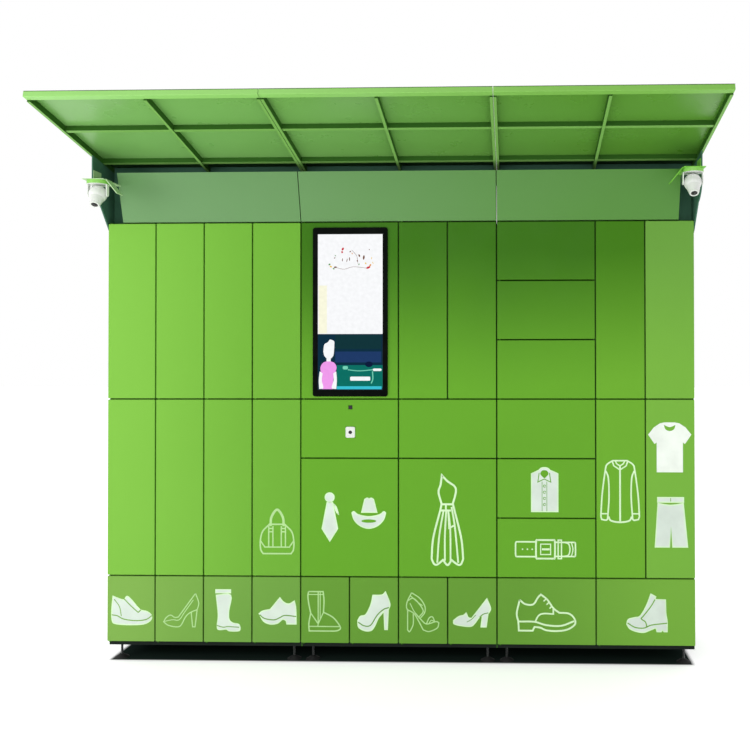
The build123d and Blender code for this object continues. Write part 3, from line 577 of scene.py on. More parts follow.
# %% Dress, shirt, belt, jacket, T-shirt and shorts
dress = {
    "stroke": [
        (join_runs([(0.32, 0.675), (0.23, 0.80), (0.29, 0.88), (0.33, 0.985)],
                   [(0.33, 0.985), (0.50, 0.92), (0.71, 0.865), (0.75, 0.80), (0.66, 0.675)]), 9),
        (np.array([(0.30, 0.668), (0.69, 0.668)]), 9),
        (np.array([(0.28, 0.60), (0.60, 0.60)]), 9),
        (smooth_run([(0.32, 0.675), (0.28, 0.60), (0.07, 0.30), (0.02, 0.07)]), 9),
        (smooth_run([(0.66, 0.675), (0.71, 0.60), (0.91, 0.30), (0.97, 0.07)]), 9),
        (join_runs([(0.02, 0.07), (0.10, 0.015), (0.20, 0.012), (0.36, 0.06)],
                   [(0.36, 0.06), (0.50, 0.005), (0.62, 0.06)],
                   [(0.62, 0.06), (0.80, 0.012), (0.90, 0.015), (0.97, 0.07)]), 9),
        (smooth_run([(0.38, 0.60), (0.25, 0.32), (0.19, 0.03)]), 8),
        (smooth_run([(0.46, 0.60), (0.42, 0.32), (0.42, 0.05)]), 8),
        (smooth_run([(0.52, 0.60), (0.58, 0.40), (0.59, 0.05)]), 8),
        (smooth_run([(0.62, 0.64), (0.72, 0.42), (0.82, 0.03)]), 8),
        (join_runs([(0.52, 0.60), (0.55, 0.41)], [(0.55, 0.41), (0.69, 0.435)]), 8),
        (np.array([(0.45, 0.60), (0.45, 0.67)]), 8),
    ],
}
folded_shirt = {
    "fill": [join_runs([(0.0, 0.0), (0.0, 0.86)], [(0.0, 0.86), (0.14, 0.90), (0.28, 0.94)],
                       [(0.28, 0.94), (0.36, 0.985), (0.48, 1.0), (0.62, 0.985), (0.70, 0.94)],
                       [(0.70, 0.94), (0.86, 0.90), (1.0, 0.86)], [(1.0, 0.86), (1.0, 0.0)])],
    "hole": [smooth_run([(0.48, 0.755), (0.34, 0.85), (0.39, 0.925), (0.49, 0.94), (0.59, 0.925),
                         (0.64, 0.85), (0.50, 0.755)])[:-1]],
    "line": [
        (join_runs([(0.29, 0.88), (0.24, 0.67)], [(0.24, 0.67), (0.48, 0.74)],
                   [(0.48, 0.74), (0.73, 0.67)], [(0.73, 0.67), (0.68, 0.88)]), 4),
        (np.array([(0.40, 0.68), (0.40, 0.01)]), 2.5),
        (np.array([(0.58, 0.68), (0.58, 0.01)]), 2.5),
        *[(ring(0.49, z, 0.045, 0.026, 12), 3) for z in (0.58, 0.44, 0.30, 0.16)],
    ],
}
belt = {
    "stroke": [
        (join_runs([(0.36, 0.10), (0.02, 0.10)], [(0.02, 0.10), (0.005, 0.2), (0.005, 0.8),
                                                  (0.02, 0.90)],
                   [(0.02, 0.90), (0.36, 0.90)]), 7),
        (join_runs([(0.65, 0.12), (0.98, 0.12)], [(0.98, 0.12), (0.995, 0.2), (0.995, 0.8),
                                                  (0.98, 0.88)],
                   [(0.98, 0.88), (0.65, 0.88)]), 7),
        (np.array([(0.44, 0.5), (0.57, 0.5)]), 9),
        (smooth_run([(0.80, 0.88), (0.88, 0.80), (0.905, 0.50), (0.88, 0.20), (0.80, 0.12)]), 6),
        (smooth_run([(0.93, 0.86), (0.955, 0.50), (0.93, 0.14)]), 5),
    ],
    "loop": [
        (join_runs([(0.37, 0.0), (0.63, 0.0)], [(0.63, 0.0), (0.655, 0.08), (0.655, 0.92),
                                                (0.63, 1.0)],
                   [(0.63, 1.0), (0.37, 1.0)], [(0.37, 1.0), (0.345, 0.92), (0.345, 0.08),
                                                (0.37, 0.0)])[:-1], 8),
        (np.array([(0.42, 0.22), (0.585, 0.22), (0.585, 0.78), (0.42, 0.78)]), 5),
        (np.array([(0.71, 0.0), (0.765, 0.0), (0.765, 1.0), (0.71, 1.0)]), 6),
        *[(ring(x, 0.5, 0.008, 0.025, 10), 3) for x in (0.12, 0.20, 0.28)],
    ],
}
sleeve = [
    (smooth_run([(0.30, 0.975), (0.17, 0.92), (0.125, 0.84), (0.04, 0.45), (0.005, 0.10)]), 7),
    (smooth_run([(0.135, 0.82), (0.20, 0.70), (0.215, 0.40), (0.18, 0.08)]), 7),
    (join_runs([(0.005, 0.10), (0.03, 0.055)], [(0.03, 0.055), (0.15, 0.045), (0.19, 0.09)]), 7),
    (np.array([(0.012, 0.145), (0.19, 0.145)]), 6),
    (join_runs([(0.30, 0.975), (0.34, 0.90)], [(0.34, 0.90), (0.50, 0.835)]), 6),
    (smooth_run([(0.38, 0.975), (0.42, 0.93), (0.50, 0.90)]), 6),
]
jacket = {
    "stroke": sleeve + [(mirrored(path), width) for path, width in sleeve] + [
        (np.array([(0.30, 0.98), (0.70, 0.98)]), 7),
        (np.array([(0.50, 0.90), (0.50, 0.02)]), 8),
        (smooth_run([(0.20, 0.10), (0.27, 0.035), (0.50, 0.012), (0.73, 0.035), (0.80, 0.10)]), 8),
    ],
}
shirt_half = [(0.50, 1.0), (0.37, 1.0), (0.27, 0.98), (0.13, 0.90), (0.0, 0.76), (0.14, 0.585),
              (0.20, 0.62), (0.20, 0.0)]
tee_shirt = {
    "film": film_white,
    "fill": [np.vstack([np.array(shirt_half[1:]), mirrored(shirt_half[1:])[::-1]])],
    "hole": [join_runs([(0.36, 0.96), (0.50, 0.915), (0.64, 0.96)],
                       [(0.64, 0.96), (0.60, 0.87), (0.50, 0.835), (0.40, 0.87),
                        (0.36, 0.96)])[:-1]],
}
shorts = {
    "fill": [
        np.array([(0.08, 0.905), (0.88, 0.905), (0.88, 1.0), (0.08, 1.0)]),
        join_runs([(0.0, 0.0), (0.09, 0.88)], [(0.09, 0.88), (0.48, 0.845), (0.87, 0.88)],
                  [(0.87, 0.88), (1.0, 0.0)], [(1.0, 0.0), (0.54, 0.0)],
                  [(0.54, 0.0), (0.49, 0.42)], [(0.49, 0.42), (0.44, 0.0)]),
    ],
    "line": [(np.array([(0.48, 0.92), (0.48, 0.99)]), 3)],
}
print("clothes drawn")

# %% Shoes and boots
sneaker = {
    "fill": [smooth_run([(0.03, 0.97), (0.14, 0.91), (0.30, 0.85), (0.38, 0.97), (0.50, 0.84),
                         (0.70, 0.53), (0.88, 0.46), (0.99, 0.33), (0.97, 0.17), (0.80, 0.04),
                         (0.45, 0.01), (0.10, 0.04), (0.01, 0.15), (0.0, 0.50), (0.03, 0.97)],
                        4)[:-1]],
    "line": [
        (smooth_run([(0.0, 0.34), (0.14, 0.31), (0.30, 0.20), (0.60, 0.15), (0.85, 0.19),
                     (1.0, 0.32)]), 5),
        (join_runs([(0.31, 0.88), (0.50, 0.62), (0.66, 0.43)], [(0.66, 0.43), (0.73, 0.52)]), 5),
        (smooth_run([(0.06, 0.87), (0.19, 0.62), (0.24, 0.30)]), 4),
    ],
}
high_heel = {
    "ink": film_pale,
    "stroke": [
        (join_runs([(0.90, 0.99), (0.42, 0.30)],
                   [(0.42, 0.30), (0.32, 0.29), (0.20, 0.355), (0.08, 0.28), (0.01, 0.16)],
                   [(0.01, 0.16), (0.14, 0.06), (0.38, 0.015), (0.50, 0.07), (0.62, 0.30),
                    (0.75, 0.43), (0.95, 0.52)],
                   [(0.95, 0.52), (0.99, 0.72), (0.90, 0.99)]), 5),
        (smooth_run([(0.02, 0.17), (0.26, 0.22), (0.44, 0.22), (0.60, 0.45), (0.84, 0.80)]), 4),
        (join_runs([(0.78, 0.45), (0.82, 0.02)], [(0.82, 0.02), (0.89, 0.02)],
                   [(0.89, 0.02), (0.945, 0.50)]), 5),
    ],
}
rubber_boot = {
    "fill": [
        np.array([(0.0, 0.92), (0.60, 0.92), (0.60, 1.0), (0.0, 1.0)]),
        smooth_run([(0.02, 0.87), (0.60, 0.87), (0.53, 0.50), (0.54, 0.29), (0.70, 0.20),
                    (0.93, 0.17), (0.98, 0.06), (0.90, 0.01), (0.55, 0.01), (0.42, 0.05),
                    (0.12, 0.04), (0.06, 0.14), (0.10, 0.40), (0.02, 0.87)], 4)[:-1],
    ],
    "line": [(smooth_run([(0.05, 0.14), (0.30, 0.10), (0.50, 0.115), (0.94, 0.10)]), 4)],
    "rim": 4.0,
}
brogue = {
    "fill": [join_runs([(0.0, 0.40), (0.10, 0.50), (0.30, 0.56)], [(0.30, 0.56), (0.56, 1.0)],
                       [(0.56, 1.0), (0.66, 0.84), (0.80, 0.77), (0.95, 0.88)],
                       [(0.95, 0.88), (0.99, 0.60), (1.0, 0.02)], [(1.0, 0.02), (0.75, 0.02)],
                       [(0.75, 0.02), (0.73, 0.15)],
                       [(0.73, 0.15), (0.63, 0.19), (0.50, 0.05), (0.30, 0.01), (0.12, 0.12),
                        (0.0, 0.40)])[:-1]],
    "line": [(smooth_run([(0.01, 0.36), (0.15, 0.22), (0.40, 0.17), (0.55, 0.25), (0.70, 0.34),
                          (1.0, 0.30)]), 5)],
}
ankle_boot = {
    "ink": film_pale,
    "stroke": [
        (join_runs([(0.02, 0.97), (0.46, 0.97)], [(0.46, 0.97), (0.485, 0.75), (0.47, 0.47)],
                   [(0.47, 0.47), (0.75, 0.35), (0.93, 0.18), (0.98, 0.08), (0.90, 0.03),
                    (0.80, 0.015)],
                   [(0.80, 0.015), (0.04, 0.015)], [(0.04, 0.015), (0.03, 0.20), (0.085, 0.45)],
                   [(0.085, 0.45), (0.03, 0.66), (0.0, 0.85), (0.02, 0.97)]), 6),
        (np.array([(0.31, 0.96), (0.31, 0.20)]), 5),
        (np.array([(0.37, 0.96), (0.37, 0.30)]), 4),
        (join_runs([(0.085, 0.45), (0.31, 0.19)], [(0.31, 0.19), (0.47, 0.47)]), 5),
        (join_runs([(0.03, 0.125), (0.30, 0.125)], [(0.30, 0.125), (0.95, 0.125)]), 5),
        (np.array([(0.02, 0.90), (0.46, 0.90)]), 4),
        (np.array([(0.31, 0.19), (0.30, 0.125)]), 4),
    ],
}
heeled_bootie = {
    "fill": [join_runs([(0.86, 1.0), (0.75, 0.92), (0.47, 0.91)],
                       [(0.47, 0.91), (0.40, 0.66), (0.25, 0.42), (0.08, 0.37), (0.0, 0.27)],
                       [(0.0, 0.27), (0.02, 0.10), (0.20, 0.01), (0.40, 0.01), (0.52, 0.12),
                        (0.64, 0.33), (0.81, 0.50)],
                       [(0.81, 0.50), (0.84, 0.04)], [(0.84, 0.04), (0.92, 0.04)],
                       [(0.92, 0.04), (0.95, 0.54)], [(0.95, 0.54), (1.0, 0.70),
                                                      (0.86, 1.0)])[:-1]],
    "line": [(smooth_run([(0.01, 0.22), (0.20, 0.13), (0.40, 0.15), (0.60, 0.40), (0.80, 0.55),
                          (0.97, 0.60)]), 5)],
}
sandal = {
    "ink": film_pale,
    "stroke": [
        (smooth_run([(0.17, 0.98), (0.42, 0.84), (0.57, 0.64), (0.56, 0.48), (0.44, 0.35)]), 5),
        (smooth_run([(0.14, 0.90), (0.36, 0.74), (0.50, 0.66)]), 4),
        (smooth_run([(0.05, 0.78), (0.22, 0.84), (0.40, 0.70), (0.52, 0.52), (0.40, 0.38)]), 5),
        (smooth_run([(0.17, 0.98), (0.04, 0.76), (0.02, 0.60), (0.10, 0.52)]), 5),
        (smooth_run([(0.12, 0.72), (0.24, 0.52), (0.34, 0.42)]), 4),
        (join_runs([(0.03, 0.56), (0.24, 0.46), (0.38, 0.27), (0.52, 0.05)],
                   [(0.52, 0.05), (0.70, 0.01), (0.94, 0.10), (0.99, 0.23)],
                   [(0.99, 0.23), (0.90, 0.26), (0.62, 0.20), (0.44, 0.32), (0.28, 0.47)]), 5),
        (join_runs([(0.05, 0.55), (0.05, 0.05)], [(0.05, 0.05), (0.10, 0.0), (0.15, 0.05)],
                   [(0.15, 0.05), (0.22, 0.20), (0.22, 0.46)]), 5),
        (smooth_run([(0.62, 0.21), (0.70, 0.35), (0.80, 0.375), (0.87, 0.25)]), 5),
        (smooth_run([(0.70, 0.22), (0.76, 0.29), (0.84, 0.27)]), 4),
    ],
}
bow_pump = {
    "fill": [join_runs([(0.90, 1.0), (0.49, 0.30)], [(0.49, 0.30), (0.40, 0.33), (0.34, 0.49)],
                       [(0.34, 0.49), (0.27, 0.41), (0.14, 0.36), (0.0, 0.22)],
                       [(0.0, 0.22), (0.02, 0.10), (0.22, 0.035), (0.47, 0.02), (0.58, 0.14),
                        (0.68, 0.32), (0.78, 0.42)],
                       [(0.78, 0.42), (0.74, 0.0)], [(0.74, 0.0), (0.88, 0.0)],
                       [(0.88, 0.0), (0.93, 0.46)], [(0.93, 0.46), (1.0, 0.66), (0.90, 1.0)])[:-1]],
    "line": [(smooth_run([(0.70, 0.34), (0.80, 0.45), (0.94, 0.50)]), 4),
             (smooth_run([(0.36, 0.17), (0.48, 0.26), (0.60, 0.42)]), 3)],
}
derby = {
    "stroke": [
        (join_runs([(0.05, 0.83), (0.15, 0.72), (0.28, 0.72), (0.36, 0.90), (0.41, 0.98)],
                   [(0.41, 0.98), (0.52, 0.84), (0.62, 0.62), (0.72, 0.50)],
                   [(0.72, 0.50), (0.88, 0.48), (0.97, 0.36), (0.985, 0.20), (0.86, 0.06),
                    (0.68, 0.015), (0.50, 0.035), (0.40, 0.10), (0.30, 0.12)],
                   [(0.30, 0.12), (0.27, 0.02)], [(0.27, 0.02), (0.035, 0.02)],
                   [(0.035, 0.02), (0.025, 0.26), (0.0, 0.48), (0.05, 0.83)]), 8),
        (smooth_run([(0.03, 0.26), (0.30, 0.255), (0.50, 0.17), (0.75, 0.155), (0.97, 0.28)]), 8),
        (join_runs([(0.31, 0.25), (0.37, 0.42), (0.46, 0.475), (0.62, 0.465)],
                   [(0.62, 0.465), (0.62, 0.60)]), 7),
        (np.array([(0.455, 0.80), (0.50, 0.87)]), 6),
        (np.array([(0.505, 0.71), (0.55, 0.78)]), 6),
        (np.array([(0.555, 0.61), (0.60, 0.68)]), 6),
    ],
}
work_boot = {
    "fill": [join_runs([(0.60, 1.0), (0.72, 0.93)], [(0.72, 0.93), (0.70, 0.86)],
                       [(0.70, 0.86), (0.96, 0.85)], [(0.96, 0.85), (0.97, 0.50), (1.0, 0.30),
                                                      (1.0, 0.03)], [(1.0, 0.03), (0.92, 0.03)],
                       [(0.92, 0.03), (0.89, 0.08)], [(0.89, 0.08), (0.85, 0.03)],
                       [(0.85, 0.03), (0.75, 0.03)], [(0.75, 0.03), (0.72, 0.13)],
                       [(0.72, 0.13), (0.58, 0.07), (0.42, 0.01), (0.24, 0.03), (0.08, 0.10),
                        (0.0, 0.22)],
                       [(0.0, 0.22), (0.04, 0.34), (0.20, 0.39), (0.33, 0.43), (0.48, 0.68),
                        (0.60, 1.0)])[:-1]],
    "line": [
        (smooth_run([(0.02, 0.25), (0.20, 0.14), (0.42, 0.12), (0.62, 0.20), (1.0, 0.25)]), 5),
        (smooth_run([(0.70, 0.86), (0.60, 0.68), (0.42, 0.44), (0.36, 0.36), (0.46, 0.28),
                     (0.50, 0.15)]), 5),
    ],
}
print("shoes drawn")

# %% [markdown]
# Every pictogram now goes onto its door. The offset is from the middle of the door and the size is
# the drawing's width and height, both in millimetres.

# %% Lay the film on the doors
PICTOGRAMS = [
    ("handbag", "door_middle_4", (4, -202), (161, 213), handbag),
    ("necktie", "door_middle_5", (-88, 2), (77, 222), necktie),
    ("hat", "door_middle_5", (89, 20), (155, 141), hat),
    ("dress", "door_middle_7", (0, -8), (152, 417), dress),
    ("folded_shirt", "door_middle_9_2", (-7, -5), (120, 200), folded_shirt),
    ("belt", "door_middle_9_1", (-4, -5), (274, 84), belt),
    ("jacket", "door_middle_11", (-3, -11), (176, 288), jacket),
    ("tee_shirt", "door_middle_12", (-3, 188), (189, 221), tee_shirt),
    ("shorts", "door_middle_12", (3, -151), (146, 224), shorts),
    ("sneaker", "door_lower_1", (5, -7), (187, 136), sneaker),
    ("high_heel", "door_lower_2", (10, -5), (166, 158), high_heel),
    ("rubber_boot", "door_lower_3", (3, -5), (116, 191), rubber_boot),
    ("brogue", "door_lower_4", (7, -6), (171, 122), brogue),
    ("ankle_boot", "door_lower_5", (-2, -4), (153, 188), ankle_boot),
    ("heeled_bootie", "door_lower_6", (0, -4), (147, 179), heeled_bootie),
    ("sandal", "door_lower_7", (-2, -5), (152, 181), sandal),
    ("bow_pump", "door_lower_8", (-1, -7), (169, 128), bow_pump),
    ("derby", "door_lower_9", (-1, -4), (268, 171), derby),
    ("work_boot", "door_lower_11", (4, -4), (182, 175), work_boot),
]
for entry in PICTOGRAMS:
    pictogram(*entry)
print("laid", len(PICTOGRAMS), "pictograms")

# %% [markdown]
# ## The screen
# The portrait screen shows a plain help page: a white upper part with scattered paper petals, a
# cream strip, a night-blue lower part with a faceless attendant, and a teal panel with a white
# button. A lit panel gives off its own light, so each layer is a thin slab with an emitting
# shader, a fifth of a millimetre in front of the one behind it.

# %% Lit colours
def lit(name, colour, strength=1.0):
    """A lit screen colour: a faint pixel shimmer from noise, and the same colour as light."""
    material, shader, place = new_material(name)
    shimmer = spread(material, noise(material, place, 60.0), 0.0, 1.0)
    dim = tuple(part * 0.93 for part in colour[:3]) + (1.0,)
    tint = between(material, shimmer, dim, colour)
    material.node_tree.links.new(tint, shader.inputs["Emission Color"])
    shader.inputs["Emission Strength"].default_value = strength
    shader.inputs["Base Color"].default_value = (0.001, 0.001, 0.001, 1.0)
    shader.inputs["Roughness"].default_value = 0.3
    shader.inputs["Specular IOR Level"].default_value = 0.01
    return material


page_white = lit("screen_white", srgb(252, 253, 255))
page_cream = lit("screen_cream", srgb(253, 252, 226))
page_navy = lit("screen_navy", srgb(10, 46, 66))
page_teal = lit("screen_teal", srgb(8, 112, 100))
page_mint = lit("screen_mint", srgb(120, 214, 186))
page_cyan = lit("screen_cyan", srgb(60, 196, 216))
page_pink = lit("screen_pink", srgb(244, 158, 240))
PETALS = [lit(f"screen_petal_{k}", srgb(*c)) for k, c in enumerate(
    [(206, 44, 60), (84, 150, 74), (232, 150, 60), (120, 74, 52), (240, 196, 70)])]

# %% Lay out the page
page_w = screen_high.x - screen_low.x
page_h = screen_high.z - screen_low.z
LAYER = 0.2 * MM
INSET = 1.0 * MM


def on_page(path):
    """Points given as shares of the page's width and height, moved onto the screen."""
    p = np.asarray(path, float)
    return np.column_stack([
        screen_low.x + INSET + p[:, 0] * (page_w - 2 * INSET),
        screen_low.z + INSET + p[:, 1] * (page_h - 2 * INSET),
    ])


def rectangle(x0, x1, z0, z1):
    return np.array([(x0, z0), (x1, z0), (x1, z1), (x0, z1)])


def rounded(x0, x1, z0, z1, rx, rz, count=6):
    """A rectangle whose corners are quarter ellipses of radii rx and rz."""
    a = np.linspace(0.0, np.pi / 2, count)
    corners = []
    for k, (cx, cz) in enumerate([(x1 - rx, z1 - rz), (x0 + rx, z1 - rz), (x0 + rx, z0 + rz),
                                  (x1 - rx, z0 + rz)]):
        turn = a + k * np.pi / 2
        corners.append(np.column_stack([cx + rx * np.cos(turn), cz + rz * np.sin(turn)]))
    return np.vstack(corners)


def page_layer(path, level, finish):
    """One slab of the page at its own level in front of the glass."""
    y = screen_low.y - (level + 0.3) * LAYER
    return (*fill_slab(on_page(path), y - LAYER * 0.8, y), finish)


def line_layer(path, width, level, finish):
    """A thin lit line on the page, its width in millimetres."""
    y = screen_low.y - (level + 0.3) * LAYER
    return (*band_slab(on_page(path), width * MM, y - LAYER * 0.8, y), finish)


layers = [
    page_layer(rectangle(0.0, 1.0, 0.358, 1.0), 0, page_white),
    page_layer(rectangle(0.0, 1.0, 0.0, 0.358), 0, page_navy),
    page_layer(rectangle(0.012, 0.14, 0.362, 0.67), 1, page_cream),
    page_layer(rectangle(0.29, 1.0, 0.012, 0.158), 1, page_teal),
    page_layer(rectangle(0.29, 0.985, 0.003, 0.022), 2, page_cyan),
    page_layer(rounded(0.50, 0.81, 0.058, 0.084, 0.015, 0.006), 2, page_white),
    page_layer(rounded(0.385, 0.465, 0.130, 0.152, 0.02, 0.008), 2, page_mint),
    page_layer(rounded(0.85, 0.985, 0.120, 0.136, 0.02, 0.007), 2, page_white),
    page_layer(rectangle(0.27, 0.98, 0.262, 0.352), 1, lit("screen_shade", srgb(14, 52, 58))),
    page_layer(rectangle(0.27, 0.98, 0.175, 0.245), 1, lit("screen_blue", srgb(30, 58, 104))),
    page_layer(ring(0.79, 0.163, 0.06, 0.018), 2, lit("screen_dusk", srgb(8, 26, 60))),
    line_layer(smooth_run([(0.465, 0.128), (0.64, 0.121), (0.85, 0.128)]), 4, 2, page_mint),
    line_layer(smooth_run([(0.845, 0.118), (0.85, 0.07), (0.825, 0.04)]), 5, 2, page_mint),
]
print(f"page {page_w:.3f} by {page_h:.3f} m")

# %% The attendant and the petals
# The figure is a plain paper doll with no face: a white head with a tuft of hair, a neck, a
# pink top and two white arms. Over it a spray of paper petals lies along two curved stems.
figure = [
    page_layer(smooth_run([(0.085, 0.245), (0.10, 0.290), (0.155, 0.305), (0.19, 0.322),
                           (0.25, 0.312), (0.255, 0.290), (0.25, 0.250), (0.235, 0.215),
                           (0.17, 0.195), (0.105, 0.215), (0.085, 0.245)], 4)[:-1], 3, page_white),
    page_layer(rectangle(0.135, 0.20, 0.165, 0.215), 3, page_white),
    page_layer(join_runs([(0.065, 0.004), (0.06, 0.08), (0.04, 0.14), (0.08, 0.172),
                          (0.135, 0.182)],
                         [(0.135, 0.182), (0.20, 0.182)],
                         [(0.20, 0.182), (0.255, 0.172), (0.29, 0.14), (0.245, 0.08),
                          (0.235, 0.004)]),
               4, page_pink),
    page_layer(join_runs([(0.022, 0.004), (0.015, 0.06), (0.03, 0.118)],
                         [(0.03, 0.118), (0.075, 0.105)],
                         [(0.075, 0.105), (0.062, 0.06), (0.085, 0.012), (0.022, 0.004)])[:-1], 5,
               page_white),
    page_layer(join_runs([(0.285, 0.004), (0.295, 0.06), (0.285, 0.118)],
                         [(0.285, 0.118), (0.24, 0.105)],
                         [(0.24, 0.105), (0.245, 0.06), (0.215, 0.012), (0.285, 0.004)])[:-1], 5,
               page_white),
]
SPRAY = [  # x, y, length, width, turn in degrees, colour
    (0.385, 0.905, 0.050, 0.016, 60, 0), (0.375, 0.885, 0.034, 0.014, 110, 0),
         (0.18, 0.806, 0.034, 0.012, 30, 1), (0.20, 0.792, 0.040, 0.012, -30, 4),
         (0.27, 0.788, 0.050, 0.012, 5, 3), (0.245, 0.778, 0.030, 0.010, 160, 1),
         (0.64, 0.862, 0.046, 0.012, 110, 3), (0.71, 0.850, 0.070, 0.014, 84, 3),
         (0.78, 0.785, 0.070, 0.016, 22, 0), (0.81, 0.800, 0.040, 0.012, 50, 2),
         (0.74, 0.812, 0.030, 0.010, 120, 4), (0.38, 0.835, 0.050, 0.006, 88, 3),
         (0.45, 0.832, 0.055, 0.006, 80, 3), (0.49, 0.840, 0.060, 0.007, 92, 3),
         (0.61, 0.828, 0.030, 0.008, 120, 3), (0.635, 0.806, 0.030, 0.008, 60, 1),
         (0.26, 0.848, 0.030, 0.006, 50, 3), (0.27, 0.862, 0.026, 0.006, -40, 1),
         (0.50, 0.888, 0.030, 0.008, 40, 3), (0.53, 0.876, 0.030, 0.007, -60, 2),
         (0.83, 0.845, 0.040, 0.005, 75, 4), (0.85, 0.815, 0.040, 0.005, -65, 4),
         (0.795, 0.900, 0.014, 0.008, 0, 3),
]
petals = []
for number, (x, z, length, width, turn, shade) in enumerate(SPRAY):
    leaf = ring(0.0, 0.0, length / 2 * page_w, width * page_w, 12)
    turn = math.radians(turn)
    spin = np.array([[math.cos(turn), -math.sin(turn)], [math.sin(turn), math.cos(turn)]])
    petals.append(page_layer(leaf @ spin.T / (page_w, page_h) + (x, z), 1 + number % 3,
                             PETALS[shade]))
for stem in ([(0.25, 0.79), (0.40, 0.775), (0.55, 0.79), (0.78, 0.78)],
             [(0.52, 0.90), (0.60, 0.86), (0.62, 0.81)]):
    petals.append(line_layer(smooth_run(stem), 1.5, 1, PETALS[3]))
screen_page = build_piece("screen_page", layers + figure + petals, "display_door")
print("screen faces", len(screen_page.data.polygons))

# %% [markdown]
# ## Turned and ringed parts
# Lens rings, lens glass and thread ridges are surfaces of revolution: a profile of radius against
# height, turned round an axis. One function makes them all, and closes the seam and the poles.

# %% A turned surface
def turned(profile, centre, axis, count=32):
    """
    A closed lathe surface. The point for profile step (r, h) and turn a is
    centre + h axis + r (cos a u + sin a v), where u and v are square to the axis.
    """
    axis = np.asarray(axis, float) / np.linalg.norm(axis)
    helper = np.array([1.0, 0.0, 0.0]) if abs(axis[0]) < 0.9 else np.array([0.0, 1.0, 0.0])
    u = np.cross(axis, helper)
    u /= np.linalg.norm(u)
    v = np.cross(axis, u)
    a = np.linspace(0.0, 2 * np.pi, count, endpoint=False)
    circle = np.cos(a)[:, None] * u + np.sin(a)[:, None] * v
    p = np.asarray(profile, float)
    grid = (np.asarray(centre, float) + p[:, 1, None, None] * axis
            + p[:, 0, None, None] * circle[None])
    rings = len(p)
    index = np.arange(rings * count).reshape(rings, count)
    nxt = np.roll(index, -1, axis=1)
    quads = np.stack([index[:-1], nxt[:-1], nxt[1:], index[1:]], -1).reshape(-1, 4).tolist()
    return grid.reshape(-1, 3), quads + [index[0][::-1].tolist(), index[-1].tolist()]


# %% Camera eyes
# Each head looks down and forward. Its eye is a black ring, a clear dome and a circle of
# small lamps for seeing at night, sunk in the snout's end.
CAMERA_LEAN = math.radians(30.0)
SNOUT = 60.0 * MM
eye_axis = np.array([0.0, -math.sin(CAMERA_LEAN), -math.cos(CAMERA_LEAN)])
lamp_red = moulded("night_lamp", srgb(60, 16, 20), 0.2)
for side in ("left", "right"):
    pivot = np.array(joint_at[f"camera_{side}_tilt"])
    mouth = pivot + eye_axis * (SNOUT - 4.5 * MM)
    parts = [
        (*turned(np.array([(0.2, 0.0), (14.2, 0.0), (14.2, 2.6), (13.6, 3.4), (12.0, 3.4),
                           (11.2, 2.2), (0.2, 2.2)]) * MM, mouth, eye_axis), black_plastic),
        (*turned(np.array([(6.4, 2.2), (6.1, 3.4), (4.8, 4.4), (2.8, 5.0), (0.3, 5.2)]) * MM,
                 mouth, eye_axis), dark_glass),
    ]
    across = np.array([1.0, 0.0, 0.0])
    up = np.cross(eye_axis, across)
    for turn in np.arange(8) * math.pi / 4:
        spot = mouth + (across * math.cos(turn) + up * math.sin(turn)) * 8.8 * MM
        dome = np.array([(1.3, 2.2), (1.2, 2.7), (0.8, 3.1), (0.1, 3.2)]) * MM
        parts.append((*turned(dome, spot, eye_axis, 12), lamp_red))
    build_piece(f"camera_eye_{side}", parts, f"camera_head_{side}")
print("two camera eyes")

# %% Thread ridges on the feet
# The levelling studs are threaded. At this size rings read the same as a helix, and stay closed.
feet_low, feet_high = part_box("levelling_feet")
CANOPY_SIDE = 15.0 * MM  # the canopy's end, out from the body's end
BANK_COUNT = 3
bank_w = (cad_high.x - cad_low.x - 2 * CANOPY_SIDE) / BANK_COUNT
FOOT_IN = 44.0 * MM
PAD_R = 33.0 * MM
ridges = []
THREAD_LOW = 17.0 * MM
THREAD_HIGH = 58.0 * MM
pitch = 2.5 * MM
ridge = np.array([(4.6, -0.9), (5.6, 0.0), (4.6, 0.9)]) * MM
for bank in range(BANK_COUNT):
    left = cad_low.x + CANOPY_SIDE + bank * bank_w
    for x in (left + FOOT_IN, left + bank_w - FOOT_IN):
        for y in (feet_low.y + PAD_R, feet_high.y - PAD_R):
            for z in np.arange(THREAD_LOW, THREAD_HIGH, pitch):
                ridges.append((*turned(ridge, (x, y, z), (0, 0, 1), 16), zinc))
build_piece("foot_threads", ridges, "cabinet")
print("thread ridges", len(ridges))

# %% [markdown]
# ## Camera, floor and light
# The camera stands a little to the right of the middle at eye height, and its lens is shifted
# sideways the way a shift lens is, so the upright lines stay upright. The room is a white studio:
# a pale floor, a sky that is white behind the locker and dimmer in front, one soft panel in front
# and one to the left.

# %% Camera
eye = bpy.data.cameras.new("studio_camera")
eye.sensor_width = 36.0
eye.lens = 40.222
eye.shift_x = -0.1533
eye.shift_y = -0.0422
eye.dof.use_dof = False
camera = bpy.data.objects.new("studio_camera", eye)
camera.location = (0.5269, face_y - 3.8252, 1.4226)
camera.rotation_euler = (math.radians(90.595), math.radians(0.074), math.radians(1.606))
bpy.context.collection.objects.link(camera)
bpy.context.scene.camera = camera
print("camera at", tuple(round(part, 3) for part in camera.location))

# %% Floor and backdrop
# The floor is pale, and glows slightly like a light table so that it stays as white as the sky.
# Under the locker lies a painted shadow: a dark patch in the floor's colour, stepped smoothly at
# its edges, where the floor doesn't glow.
def edge_step(tree, value, middle, soft):
    """1 inside and 0 outside, where the value passes the middle over a soft width."""
    node = tree.nodes.new("ShaderNodeMapRange")
    node.inputs["From Min"].default_value = middle - soft
    node.inputs["From Max"].default_value = middle + soft
    tree.links.new(value, node.inputs["Value"])
    return node.outputs["Result"]


